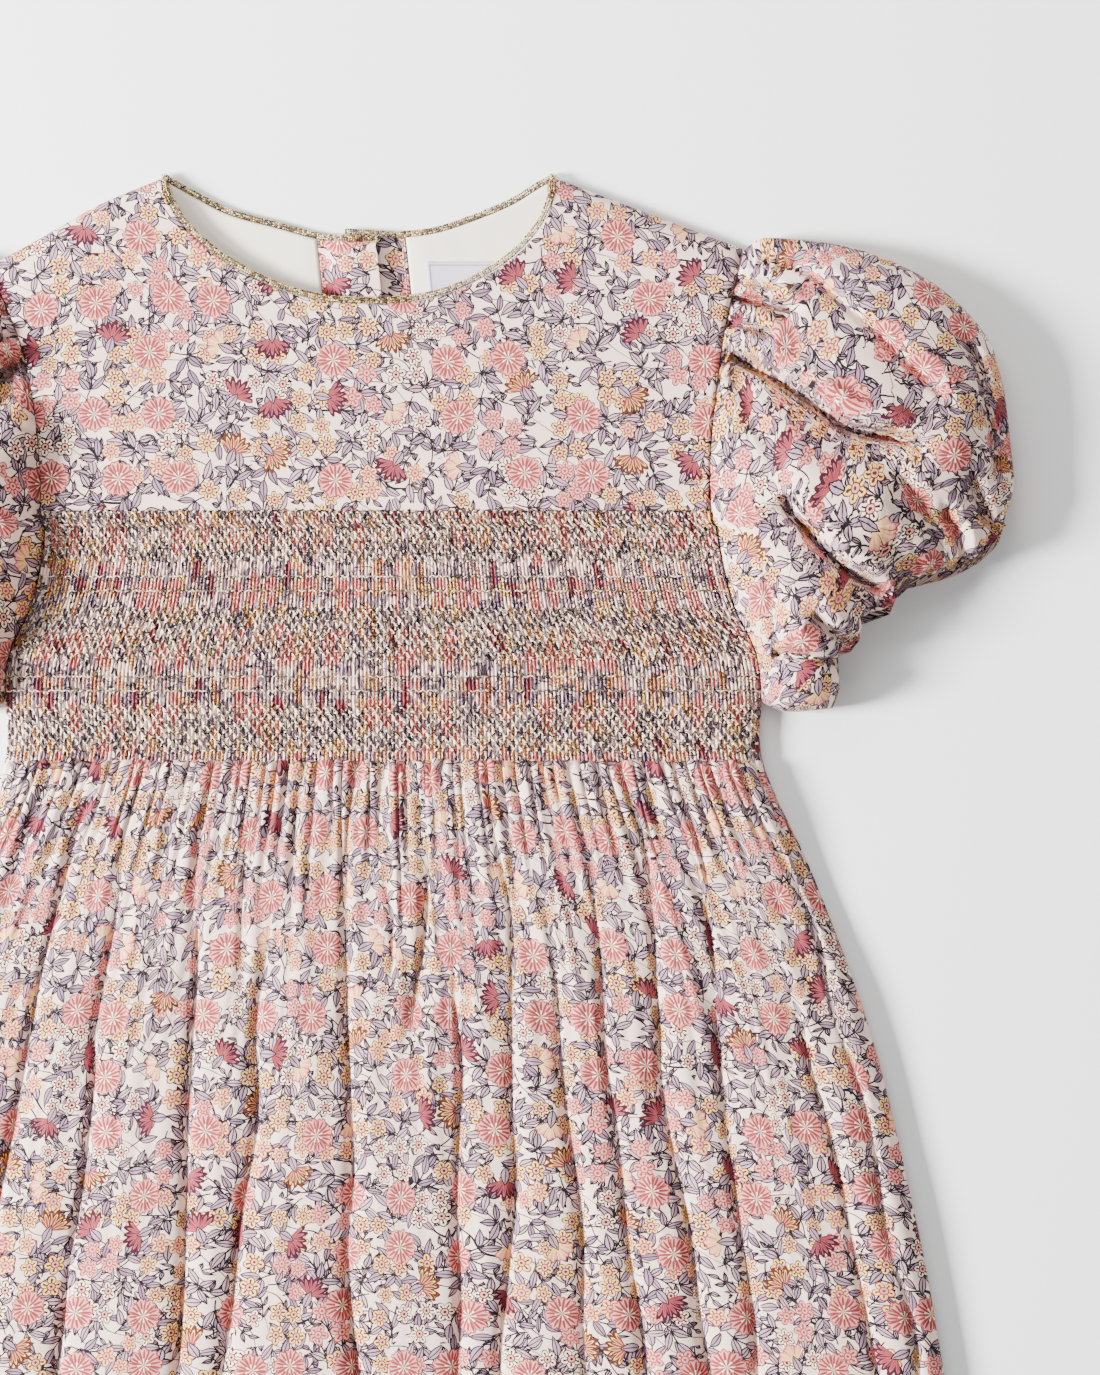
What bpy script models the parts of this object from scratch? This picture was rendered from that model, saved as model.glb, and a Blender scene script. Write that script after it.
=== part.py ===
"""Smocked dress for a child of about five, laid on its back on a flat surface.

Metres, +Z up. The back rests on Z = 0 and the front faces up. +Y points to the neck and +X to
the wearer's left sleeve. Tables and functions work in millimetres, measured from a straight
centre line, and place() brings each point to its leaning place in metres.
"""

import math

import bmesh
import bpy
import numpy as np
from mathutils import Vector

MM = 0.001

# Driving sizes in millimetres
CLOTH = 1.0
SEAM_GAP = 0.3
LAYER = CLOTH + SEAM_GAP
SEAM_RISE = LAYER
BODY_CROWN = 6.2
SIDE_ROLL = 16.0
TOP_Y = 315.0
HEM_Y = -317.0
YOKE_SEAM_Y = 186.5
WAIST_Y = 92.0
UNDERARM_Y = 113.9
SHOULDER_TIP = (145.6, 288.0)
NECK_HALF = 76.7
FACING_BOTTOM_Y = 250.0
PIPING_RADIUS = 1.0
PIPING_GAP = 0.8
PIPING_APEX = (75.1, 316.2)  # where the front and back cords meet, over the shoulder seam
LABEL_SIZE = (45.0, 20.0)
LABEL_CORNER = (22.6, 283.0)
BUTTON_RADIUS = 5.5
BUTTON_THICK = 1.7
BUTTON_HEIGHTS = (277.0, 215.0, 150.0)
BUTTON_PROFILE = (
    # share of the radius, share of the thickness
    (0.0, 0.65),
    (0.55, 0.65),
    (0.75, 1.0),
    (0.93, 1.0),
    (1.0, 0.6),
    (0.9, 0.0),
    (0.0, 0.0),
)

# The back opening: the right half laps over the left one, above the buttons
LAP_LOW_EDGE = -7.1
LAP_HIGH_EDGE = 4.5
LAP_SLOPE = 10.5
LAP_RAISE = BUTTON_THICK + SEAM_GAP
PLACKET_RIGHT_EDGE = -18.4
PLACKET_LEFT_EDGE = 15.6

# How the dress leans as it lies: height, sideways shift of the centre line
LEAN = ((HEM_Y, 2.7), (133.0, 2.7), (185.0, 0.0), (255.0, -1.2), (315.0, -6.8))

# How far the wearer's right shoulder droops, and where it starts and is full
DROOP = 6.0
DROOP_ACROSS = (-95.0, -145.0)
DROOP_UP = (205.0, 265.0)

# Side of the body, skirt and armhole: height, half width
BODY_OUTLINE = (
    (HEM_Y, 242.0),
    (-147.0, 216.9),
    (-76.0, 203.4),
    (-14.0, 188.0),
    (44.0, 166.8),
    (88.0, 147.2),
    (114.0, 146.1),
    (132.0, 143.6),
    (152.0, 134.5),
    (179.0, 129.3),
    (210.0, 129.4),
    (252.0, 134.7),
    (288.0, 145.6),
)

# Half of the front neck edge from its middle: half width, height
FRONT_NECK = (
    (0.0, 266.0),
    (15.0, 266.8),
    (30.0, 270.0),
    (44.0, 276.0),
    (57.5, 284.5),
    (69.0, 296.0),
    (75.0, 307.5),
    (NECK_HALF, TOP_Y),
)

# Back neck edges from the opening to the shoulder: distance from the middle, height
BACK_NECK_LEFT = (
    (LAP_LOW_EDGE, 293.2),
    (12.0, 292.2),
    (28.0, 294.0),
    (44.4, 299.2),
    (58.7, 305.0),
    (69.1, 311.0),
    (NECK_HALF, TOP_Y),
)
BACK_NECK_RIGHT = (
    (-LAP_HIGH_EDGE, 289.9),
    (4.0, 290.3),
    (17.4, 291.5),
    (34.4, 296.1),
    (51.3, 300.9),
    (64.1, 307.6),
    (NECK_HALF, TOP_Y),
)

# Smocking: height of each stitched row, and how the pleats stand there
PLEATS = 104
PLEAT_HEIGHT = 1.6
PLEAT_LOW = 0.6
SMOCKING_ROWS = (
    # height, pattern
    (186.2, "even"),
    (179.0, "left"),
    (172.5, "right"),
    (166.0, "left"),
    (149.0, "even"),
    (141.5, "right"),
    (135.5, "left"),
    (129.5, "even"),
    (111.5, "left"),
    (104.5, "right"),
    (98.0, "left"),
    (92.3, "even"),
)
SMOCKING_INSIDE_COLUMNS = 16
YOKE_ROWS = 6
BACK_ROWS = 8
NECK_CURVE_POINTS = 60
PIPING_POINTS = 14
FACING_ROWS = 3
FACING_COLUMN_WIDTH = 9.0
LINING_END = 73.0

# Skirt folds, as troughs between soft ridges. Places are shares of the half width.
SKIRT_TROUGHS = (
    # at waist, at middle, at hem, depth, first height, last height
    (-0.96, -0.93, -0.93, 0.7, 80.0, -340.0),
    (-0.86, -0.85, -0.86, 0.7, 40.0, -340.0),
    (-0.75, -0.72, -0.735, 0.9, 80.0, -340.0),
    (-0.61, -0.58, -0.57, 0.8, 60.0, -340.0),
    (-0.45, -0.38, -0.36, 1.0, 70.0, -340.0),
    (-0.33, -0.30, -0.30, 0.5, 70.0, -20.0),
    (-0.26, -0.25, -0.30, 0.9, 40.0, -340.0),
    (-0.10, -0.07, -0.04, 1.0, 85.0, -340.0),
    (0.03, 0.01, 0.00, 0.5, 50.0, -10.0),
    (0.14, 0.05, 0.04, 0.9, 75.0, -30.0),
    (0.15, 0.15, 0.12, 0.8, 20.0, -340.0),
    (0.31, 0.26, 0.19, 0.8, 70.0, -340.0),
    (0.36, 0.365, 0.36, 0.8, 30.0, -340.0),
    (0.49, 0.45, 0.47, 0.8, 60.0, -340.0),
    (0.65, 0.555, 0.59, 1.0, 90.0, -340.0),
    (0.78, 0.67, 0.66, 0.8, 80.0, -340.0),
    (0.86, 0.86, 0.89, 0.7, 10.0, -340.0),
    (0.96, 0.94, 0.95, 0.7, 80.0, -340.0),
)
TROUGH_WIDTH = 7.0
TROUGH_FADE = 35.0
TROUGH_TURN = 1.6  # how soon below the middle a trough reaches its place at the hem
SKIRT_MIDDLE_Y = -30.0
SKIRT_BASE = 2.6
SKIRT_RISE_Y = 40.0
FOLD_HEIGHTS = ((92.0, 0.8), (60.0, 3.0), (0.0, 6.5), (-120.0, 8.0), (HEM_Y, 9.0))
GATHERS = 44
GATHER_HEIGHT = 2.2
GATHER_END_Y = 30.0
SKIRT_ROWS = (91.7, 80.0, 62.0, 38.0, 5.0, -45.0, -110.0, -180.0, -250.0, HEM_Y)

# Tucks of the back skirt, raised off the surface: share of the half width, width
BACK_TUCKS = (
    (-0.82, 9.0),
    (-0.66, 7.0),
    (-0.47, 9.0),
    (-0.30, 8.0),
    (-0.12, 9.0),
    (0.09, 7.0),
    (0.27, 9.0),
    (0.45, 8.0),
    (0.63, 9.0),
    (0.81, 8.0),
)
BACK_TUCK_HEIGHT = 1.4
BACK_TUCKS_FROM = (75.0, 15.0)
BACK_LAP_FROM = (50.0, 85.0)
BACK_ROW_SPREAD = 1.5

# Outlines of the left sleeve as it lies: distance from the middle, height
SLEEVE_OVERARM = (
    (145.9, 287.2),
    (151.7, 291.1),
    (158.6, 291.8),
    (183.5, 288.8),
    (202.2, 282.6),
    (220.5, 271.8),
    (235.5, 255.2),
    (241.8, 237.0),
    (245.1, 211.2),
    (246.1, 195.7),
    (241.9, 183.0),
)
SLEEVE_HEM = (
    (241.9, 183.0),
    (236.3, 171.4),
    (221.5, 162.5),
    (209.7, 159.1),
    (196.8, 154.0),
    (189.7, 145.5),
    (183.2, 136.7),
    (176.2, 128.0),
    (176.0, 118.5),
    (173.7, 110.4),
)
SLEEVE_UNDERARM = ((145.9, 113.9), (148.2, 111.6), (157.1, 108.9), (173.7, 110.4))

# Puff of a sleeve: share of the way from armhole to hem, height, fullness of the section
SLEEVE_PUFF = (
    (0.0, 8.5, 0.5),
    (0.07, 17.0, 0.5),
    (0.18, 25.0, 0.55),
    (0.34, 32.0, 0.6),
    (0.52, 35.0, 0.65),
    (0.69, 33.0, 0.65),
    (0.83, 27.0, 0.6),
    (0.93, 20.0, 0.55),
    (0.97, 15.0, 0.5),
    (1.0, 12.5, 0.5),
)
ARMHOLE_GAP = 0.6
SLEEVE_HEM_TUCK = 4.5
HEM_OUTWARD = (0.74, -0.67)
SLEEVE_SIDES = 36
SLEEVE_GATHER_HEIGHT = 1.2
SLEEVE_EDGE_SHARE = 0.35  # height of a section's edge fold, as a share of the section's height
SLEEVE_EDGE_HEIGHT = 4.0
SLEEVE_OUTLINE_POINTS = 61

# Creases across the top of a sleeve: depth, width, then the points that each one passes
SLEEVE_CREASES = (
    (5.0, 7.0, ((139.0, 245.9), (155.6, 234.3), (170.9, 224.3), (193.9, 213.9), (217.0, 210.0))),
    (4.5, 7.0, ((139.0, 240.0), (152.7, 220.4), (162.5, 186.8), (182.1, 166.4), (194.0, 156.0))),
    (2.6, 8.0, ((150.0, 279.0), (166.9, 276.0), (181.4, 267.9), (202.1, 242.1), (230.9, 213.9))),
)
CREASE_POINTS = 30
CREASE_FULL_HEIGHT = 12.0


def read(table, key, column=1):
    """Value of a table's column at a height or share, straight between its rows."""
    rows = sorted(table)
    return float(np.interp(key, [row[0] for row in rows], [row[column] for row in rows]))


def curve_through(points, count):
    """Points evenly spaced along a smooth curve through the given ones."""
    knots = np.array(points, float)
    padded = np.vstack([2 * knots[0] - knots[1], knots, 2 * knots[-1] - knots[-2]])
    dense = []
    for a, b, c, d in zip(padded, padded[1:], padded[2:], padded[3:]):
        for t in np.linspace(0.0, 1.0, 16, endpoint=False):
            dense.append(
                0.5 * (2 * b + (c - a) * t + (2 * a - 5 * b + 4 * c - d) * t**2
                       + (3 * b - a - 3 * c + d) * t**3)
            )
    dense.append(knots[-1])
    dense = np.array(dense)
    steps = np.linalg.norm(np.diff(dense, axis=0), axis=1)
    along = np.concatenate([[0.0], np.cumsum(steps)])
    at = np.linspace(0.0, along[-1], count)
    return np.stack([np.interp(at, along, dense[:, axis]) for axis in range(dense.shape[1])], 1)


OUTLINE_CURVE = curve_through(BODY_OUTLINE, 120)
LEAN_CURVE = curve_through(LEAN, 80)


def half_width(y):
    return float(np.interp(y, OUTLINE_CURVE[:, 0], OUTLINE_CURVE[:, 1]))


def lean(y):
    return float(np.interp(y, LEAN_CURVE[:, 0], LEAN_CURVE[:, 1]))


def panel_edge(heights, y, side):
    """Half width of a panel whose leaning side runs straight between these heights."""
    edges = [side * half_width(height) + lean(height) for height in heights]
    return side * (float(np.interp(y, heights, edges)) - lean(y))


def smooth_step(share):
    """0 below 0, 1 above 1, and a smooth rise between."""
    share = min(max(share, 0.0), 1.0)
    return share * share * (3.0 - 2.0 * share)


def between(ends, at):
    """Smooth rise from 0 at the first end to 1 at the second one."""
    return smooth_step((at - ends[0]) / (ends[1] - ends[0]))


def place(x, y, z):
    """Scene point, in metres, of a point measured from the straight centre line."""
    droop = DROOP * between(DROOP_ACROSS, x) * between(DROOP_UP, y)
    return Vector(((x + lean(y)) * MM, (y - droop) * MM, z * MM))


def quarter_round(share):
    """0 at an edge, rising like a quarter circle to 1."""
    share = min(max(share, 0.0), 1.0)
    return math.sqrt(1.0 - (1.0 - share) ** 2)


def armhole_opening(y):
    """How far the armhole stands open: 0 at its two ends, blunt beside them, 1 half way."""
    middle = (SHOULDER_TIP[1] + UNDERARM_Y) / 2
    reach = (SHOULDER_TIP[1] - UNDERARM_Y) / 2
    return max(0.0, 1.0 - ((y - middle) / reach) ** 2) ** 0.25


def shoulder_distance(x, y):
    """Distance of a point from the shoulder seam."""
    start = np.array((NECK_HALF, TOP_Y))
    along = np.array(SHOULDER_TIP) - start
    offset = np.array((abs(x), y)) - start
    share = np.clip(offset @ along / (along @ along), 0.0, 1.0)
    return float(np.linalg.norm(offset - share * along))


def body_lift(x, y):
    """Height of the front's inner face over the edge of the back."""
    edge = armhole_opening(y)
    side = quarter_round((half_width(y) - CLOTH - abs(x)) / SIDE_ROLL)
    shoulder = quarter_round(shoulder_distance(x, y) / SIDE_ROLL) if y > YOKE_SEAM_Y else 1.0
    return BODY_CROWN * (edge + (1.0 - edge) * side) * shoulder


def lap_raise(x):
    """Height of the back over the buttons: full beside the opening and 0 away from it."""
    beyond = max(LAP_LOW_EDGE - x, x - LAP_HIGH_EDGE, 0.0)
    return 1.0 - smooth_step(beyond / LAP_SLOPE)


def new_object(name, mesh, colour, roughness=0.85, metallic=0.0):
    """An object with its own material, in the dress's collection."""
    obj = bpy.data.objects.new(name, mesh)
    bpy.data.collections["smocked_dress"].objects.link(obj)
    material = bpy.data.materials.new(name)
    material.use_nodes = True
    shader = material.node_tree.nodes["Principled BSDF"]
    shader.inputs["Base Color"].default_value = (*colour, 1.0)
    shader.inputs["Roughness"].default_value = roughness
    shader.inputs["Metallic"].default_value = metallic
    mesh.materials.append(material)
    return obj


def add_grid(bm, columns, rows, point):
    """A grid primitive moved to point(column, row), with its vertices as [column, row]."""
    made = bmesh.ops.create_grid(bm, x_segments=columns, y_segments=rows, size=0.5)["verts"]
    table = {}
    for index, vert in enumerate(made):
        column, row = index % (columns + 1), index // (columns + 1)
        vert.co = place(*point(column, row))
        table[column, row] = vert
    return table


def cloth(name, columns, rows, point, colour, offset=1.0, tube=False):
    """A wall of cloth: the open surface point(column, row), thickened by Solidify."""
    bm = bmesh.new()
    add_grid(bm, columns, rows, point)
    if tube:
        bmesh.ops.remove_doubles(bm, verts=bm.verts, dist=0.001 * MM)
    mesh = bpy.data.meshes.new(name)
    bm.to_mesh(mesh)
    bm.free()
    mesh.shade_smooth()
    obj = new_object(name, mesh, colour)
    wall = obj.modifiers.new("Wall", "SOLIDIFY")
    wall.thickness = CLOTH * MM
    wall.offset = offset
    wall.use_quality_normals = True
    return obj


PRINT = (0.72, 0.60, 0.58)
PLAIN = (0.84, 0.82, 0.80)
LILAC = (0.66, 0.64, 0.74)
GOLD = (0.62, 0.54, 0.34)
PEARL = (0.80, 0.76, 0.72)


def top_edge(neck, neck_columns, shoulder_columns):
    """Points of a half panel's top edge: along the neck, then along the shoulder seam."""
    shoulder = np.linspace((NECK_HALF, TOP_Y), SHOULDER_TIP, shoulder_columns + 1)
    return np.vstack([curve_through(neck, neck_columns + 1), shoulder[1:]])


def yoke_front():
    neck_columns, shoulder_columns, rows = 8, 4, YOKE_ROWS
    half = neck_columns + shoulder_columns
    top = top_edge(FRONT_NECK, neck_columns, shoulder_columns)

    def point(column, row):
        side = column - half
        x_top, y_top = top[abs(side)]
        share = row / rows
        y = YOKE_SEAM_Y + (y_top - YOKE_SEAM_Y) * share
        low = abs(side) / half
        high = x_top / half_width(y_top)
        reach = half_width(y) - CLOTH
        x = math.copysign(reach * (low + (high - low) * share), side)
        return x, y, SEAM_RISE + body_lift(x, y)

    return cloth("yoke_front", 2 * half, rows, point, PRINT)


def smocked_front():
    """The band of pleats: raised in the outer points of a wall that is plain inside."""
    columns, rows = 2 * PLEATS, len(SMOCKING_ROWS) - 1
    inside = SMOCKING_INSIDE_COLUMNS
    ratio = columns // inside

    def base(column, row, count):
        y = SMOCKING_ROWS[row][0]
        share = 2.0 * column / count - 1.0
        x = share * (half_width(y) - CLOTH)
        return x, y, SEAM_RISE + body_lift(x, y)

    def pleat(column, row):
        if column % 2 == 0:
            return 0.0
        pattern = SMOCKING_ROWS[row][1]
        pair = (column // 4) % 2
        low = {"even": False, "left": pair == 0, "right": pair == 1}[pattern]
        return PLEAT_LOW if low else PLEAT_HEIGHT

    def outer(column, row):
        x, y, z = base(column, row, columns)
        slope = body_lift(x + 0.5, y) - body_lift(x - 0.5, y)
        length = math.hypot(1.0, slope)
        rise = CLOTH + pleat(column, row) / length
        return x - slope / length * rise, y, z + rise / length

    def inner(column, row):
        return base(inside - column, row, inside)

    bm = bmesh.new()
    top = add_grid(bm, columns, rows, outer)
    low = add_grid(bm, inside, rows, inner)
    under = {(inside - column, row): vert for (column, row), vert in low.items()}
    for row in range(rows):
        bm.faces.new((top[0, row], top[0, row + 1], under[0, row + 1], under[0, row]))
        bm.faces.new((top[columns, row + 1], top[columns, row], under[inside, row],
                      under[inside, row + 1]))
    for step in range(inside):
        across = range(step * ratio, (step + 1) * ratio + 1)
        near = [top[column, 0] for column in across]
        far = [top[column, rows] for column in across]
        bm.faces.new([*reversed(near), under[step, 0], under[step + 1, 0]])
        bm.faces.new([*far, under[step + 1, rows], under[step, rows]])
    bmesh.ops.recalc_face_normals(bm, faces=bm.faces)
    mesh = bpy.data.meshes.new("smocked_front")
    bm.to_mesh(mesh)
    bm.free()
    return new_object("smocked_front", mesh, PRINT)


def trough_place(trough, y):
    """Share of the half width where a trough runs at this height."""
    at_waist, at_middle, at_hem = trough[:3]
    if y > SKIRT_MIDDLE_Y:
        share = (y - SKIRT_MIDDLE_Y) / (WAIST_Y - SKIRT_MIDDLE_Y)
        return at_middle + (at_waist - at_middle) * share
    share = min((SKIRT_MIDDLE_Y - y) / (SKIRT_MIDDLE_Y - HEM_Y) * TROUGH_TURN, 1.0)
    return at_middle + (at_hem - at_middle) * share


def fold_height(x, y):
    """Height of the skirt's folds over the lowest line of their troughs."""
    full = read(FOLD_HEIGHTS, y)
    cut = 0.0
    for trough in SKIRT_TROUGHS:
        depth, first, last = trough[3:]
        fade = smooth_step((first - y) / TROUGH_FADE) * smooth_step((y - last) / TROUGH_FADE)
        away = (x - trough_place(trough, y) * half_width(y)) / TROUGH_WIDTH
        cut = max(cut, depth * fade * math.exp(-away * away))
    return full * (1.0 - cut)


def skirt_front():
    columns, rows = 2 * GATHERS, len(SKIRT_ROWS) - 1

    def point(column, row):
        y = SKIRT_ROWS[rows - row]
        share = 2.0 * column / columns - 1.0
        x = share * (half_width(y) - CLOTH)
        roll = quarter_round((half_width(y) - CLOTH - abs(x)) / SIDE_ROLL)
        waist = between((SKIRT_RISE_Y, WAIST_Y), y)
        gather = GATHER_HEIGHT * (column % 2) * between((GATHER_END_Y, WAIST_Y), y)
        base = SKIRT_BASE + (BODY_CROWN - SKIRT_BASE) * waist
        return x, y, SEAM_RISE + roll * (base + fold_height(x, y) + gather)

    return cloth("skirt_front", columns, rows, point, PRINT)


def skirt_back():
    columns, rows = 40, 6

    def point(column, row):
        y = HEM_Y + (WAIST_Y - SEAM_GAP - HEM_Y) * (1.0 - (1.0 - row / rows) ** BACK_ROW_SPREAD)
        x = (2.0 * column / columns - 1.0) * half_width(y)
        tucks = max(
            math.exp(-(((x - share * half_width(y)) / width) ** 2))
            for share, width in BACK_TUCKS
        )
        under_lap = LAP_RAISE * lap_raise(x) * between(BACK_LAP_FROM, y)
        return x, y, BACK_TUCK_HEIGHT * tucks * between(BACK_TUCKS_FROM, y) + under_lap

    return cloth("skirt_back", columns, rows, point, PRINT)


def back_layer(side, layer, x):
    """Underside of a back layer. The right half's layers lie over the left half's lap."""
    lap = lap_raise(x)
    if side > 0:
        return LAP_RAISE * lap + layer * LAYER
    over = LAP_RAISE + 2 * LAYER
    return over * lap + layer * LAYER


def lap_edge(side):
    """Distance of a half's free edge from the middle, seen from that half's own side."""
    return LAP_LOW_EDGE if side > 0 else -LAP_HIGH_EDGE


def lap_columns(side):
    """Column places beside the opening, shared by all of its layers."""
    edge = lap_edge(side)
    far = LAP_HIGH_EDGE if side > 0 else -LAP_LOW_EDGE
    slope = [far + LAP_SLOPE * share for share in (0.0, 0.25, 0.5, 0.75, 1.0)]
    return [edge, *slope]


def bodice_back(name, side, neck):
    rows, far_columns, shoulder_columns = BACK_ROWS, 5, 3
    near = lap_columns(side)
    neck_curve = curve_through(neck, NECK_CURVE_POINTS)
    far_neck = np.linspace(near[-1], NECK_HALF, far_columns + 1)[1:]
    xs_top = [*near, *far_neck]
    top = [(x, float(np.interp(x, neck_curve[:, 0], neck_curve[:, 1]))) for x in xs_top]
    top += [tuple(p) for p in np.linspace((NECK_HALF, TOP_Y), SHOULDER_TIP, shoulder_columns + 1)[1:]]
    far_low = np.linspace(near[-1] / half_width(WAIST_Y), 1.0, far_columns + shoulder_columns + 1)[1:]
    columns = len(top) - 1

    def point(column, row):
        at = columns - column if side < 0 else column
        x_top, y_top = top[at]
        share = row / rows
        y = WAIST_Y + (y_top - WAIST_Y) * share
        if at < len(near):
            x = near[at]
        else:
            low = far_low[at - len(near)]
            high = x_top / half_width(y_top)
            x = half_width(y) * (low + (high - low) * share)
        return side * x, y, back_layer(side, 0, side * x)

    return cloth(name, columns, rows, point, PRINT)


def facing(name, side, neck, first, last, layer, colour):
    """A strip inside the back neck, between two distances from the middle."""
    inside = [x for x in lap_columns(side) if first < x < last]
    width = max(2, round((last - max([first, *inside])) / FACING_COLUMN_WIDTH))
    xs = [first, *inside, *np.linspace(max([first, *inside]), last, width + 1)[1:]]
    neck_curve = curve_through(neck, NECK_CURVE_POINTS)
    columns, rows = len(xs) - 1, FACING_ROWS

    def point(column, row):
        x = xs[columns - column if side < 0 else column]
        y_top = float(np.interp(x, neck_curve[:, 0], neck_curve[:, 1]))
        y = FACING_BOTTOM_Y + (y_top - FACING_BOTTOM_Y) * row / rows
        return side * x, y, back_layer(side, layer, side * x)

    return cloth(name, columns, rows, point, colour)


def cord(name, points):
    """A piping cord along the given points, as a thin tube with closed ends."""
    data = bpy.data.curves.new(name, "CURVE")
    data.dimensions = "3D"
    data.bevel_depth = PIPING_RADIUS * MM
    data.bevel_resolution = 2
    data.use_fill_caps = True
    line = data.splines.new("POLY")
    line.points.add(len(points) - 1)
    for spot, at in zip(line.points, points):
        spot.co = (*place(*at), 1.0)
    return new_object(name, data, GOLD, roughness=0.35, metallic=0.8)


def beside(path, height, turn):
    """The path moved off its cloth edge by a piping radius and a gap, at height(x, y)."""
    ahead = np.gradient(path, axis=0)
    ahead /= np.linalg.norm(ahead, axis=1, keepdims=True)
    away = turn * np.stack([-ahead[:, 1], ahead[:, 0]], 1)
    moved = path + away * (PIPING_RADIUS + PIPING_GAP)
    return [(x, y, height(*near)) for (x, y), near in zip(moved, path)]


def neck_pipings():
    half = curve_through(FRONT_NECK, PIPING_POINTS)[:-1]
    whole = np.vstack([(half * (-1.0, 1.0))[::-1], half[1:]])
    path = beside(whole, lambda x, y: SEAM_RISE + CLOTH / 2 + body_lift(x, y), 1.0)
    end_x, end_y = PIPING_APEX
    end_z = 3 * PIPING_RADIUS + SEAM_GAP
    cord("neck_piping_front", [(-end_x, end_y, end_z), *path, (end_x, end_y, end_z)])
    for name, side, neck in (
        ("neck_piping_back_left", 1, BACK_NECK_LEFT),
        ("neck_piping_back_right", -1, BACK_NECK_RIGHT),
    ):
        path = curve_through(neck, PIPING_POINTS)[:-1] * (side, 1.0)
        over_lap = SEAM_GAP * 2 if side < 0 else 0.0
        beside_neck = beside(
            path,
            lambda x, y, side=side, over_lap=over_lap: max(
                PIPING_RADIUS, back_layer(side, 0, x) + CLOTH / 2 + over_lap * lap_raise(x)
            ),
            side,
        )
        cord(name, [*beside_neck, (side * end_x, end_y, PIPING_RADIUS)])


def label():
    """A blank woven label on the left lining."""
    width, height = LABEL_SIZE
    x, y = LABEL_CORNER
    bm = bmesh.new()
    bmesh.ops.create_cube(bm, size=MM)
    bmesh.ops.scale(bm, vec=(width, height, CLOTH), verts=bm.verts)
    mesh = bpy.data.meshes.new("label")
    bm.to_mesh(mesh)
    bm.free()
    obj = new_object("label", mesh, LILAC, roughness=0.6)
    layer = back_layer(1, 2, x)
    obj.location = place(x + width / 2, y - height / 2, layer + CLOTH / 2)
    return obj


def button(name, y):
    """A flat button with a raised rim, in the lap under the back."""
    bm = bmesh.new()
    spots = [
        bm.verts.new((radius * BUTTON_RADIUS * MM, 0.0, height * BUTTON_THICK * MM))
        for radius, height in BUTTON_PROFILE
    ]
    for start, end in zip(spots, spots[1:]):
        bm.edges.new((start, end))
    mesh = bpy.data.meshes.new(name)
    bm.to_mesh(mesh)
    bm.free()
    obj = new_object(name, mesh, PEARL, roughness=0.3)
    turn = obj.modifiers.new("Turn", "SCREW")
    turn.steps = 16
    turn.render_steps = 16
    turn.use_merge_vertices = True
    turn.merge_threshold = 0.00001
    obj.location = place((LAP_LOW_EDGE + LAP_HIGH_EDGE) / 2, y, 0.0)
    return obj


def crease_depth(x, y):
    """How far the sleeve's creases sink its top at a point."""
    sunk = 0.0
    for depth, width, points in SLEEVE_CREASES:
        line = curve_through(points, CREASE_POINTS)
        away = float(np.min(np.hypot(line[:, 0] - x, line[:, 1] - y)))
        sunk = max(sunk, depth * math.exp(-((away / width) ** 2)))
    return sunk


def sleeve(name, side):
    """A puff sleeve: rings from the armhole to the gathered hem, flat underneath."""
    outlines = (SLEEVE_OVERARM, SLEEVE_UNDERARM, SLEEVE_HEM)
    overarm, underarm, hem = (curve_through(line, SLEEVE_OUTLINE_POINTS) for line in outlines)
    rings = len(SLEEVE_PUFF) - 1

    def on(curve, share):
        at = share * (len(curve) - 1)
        return np.array([np.interp(at, range(len(curve)), curve[:, axis]) for axis in (0, 1)])

    smocked_sides = [row[0] for row in reversed(SMOCKING_ROWS)]
    front_sides = [*smocked_sides, *np.linspace(YOKE_SEAM_Y, SHOULDER_TIP[1], YOKE_ROWS + 1)]
    back_sides = np.linspace(WAIST_Y, SHOULDER_TIP[1], BACK_ROWS + 1)

    def armhole(share):
        y = overarm[0][1] + (underarm[0][1] - overarm[0][1]) * share
        edge = max(panel_edge(sides, y, side) for sides in (front_sides, back_sides))
        return np.array((edge + ARMHOLE_GAP, y))

    def plan(along, across):
        """Coons patch between the armhole, the hem and the two edges of the sleeve."""
        sides = (1 - across) * on(overarm, along) + across * on(underarm, along)
        ends = (1 - along) * armhole(across) + along * on(hem, across)
        corners = (1 - along) * ((1 - across) * armhole(0.0) + across * armhole(1.0))
        corners += along * ((1 - across) * hem[0] + across * hem[-1])
        return sides + ends - corners

    def point(column, row):
        along, height, fullness = SLEEVE_PUFF[row]
        angle = 2.0 * math.pi * column / SLEEVE_SIDES
        across = (1.0 - math.cos(angle)) / 2.0
        bulge = abs(math.sin(angle))
        x, y = plan(along, across)
        on_top = math.sin(angle) >= 0.0
        if row == rings and on_top:
            x, y = np.array((x, y)) - SLEEVE_HEM_TUCK * bulge * np.array(HEM_OUTWARD)
        middle = min(SLEEVE_EDGE_SHARE * height, SLEEVE_EDGE_HEIGHT)
        gather = SLEEVE_GATHER_HEIGHT * (column % 2) * (row in (1, 2, rings - 2, rings - 1))
        if on_top:
            rise = (height - middle) * bulge**fullness
            sunk = crease_depth(x, y) * min(1.0, rise / CREASE_FULL_HEIGHT)
            z = middle + rise + gather * bulge - sunk
        else:
            z = middle * (1.0 - bulge) ** 2
        return side * x, y, z

    def turned(column, row):
        return point(SLEEVE_SIDES - column if side < 0 else column, row)

    return cloth(name, SLEEVE_SIDES, rings, turned, PRINT, offset=-1.0, tube=True)


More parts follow.
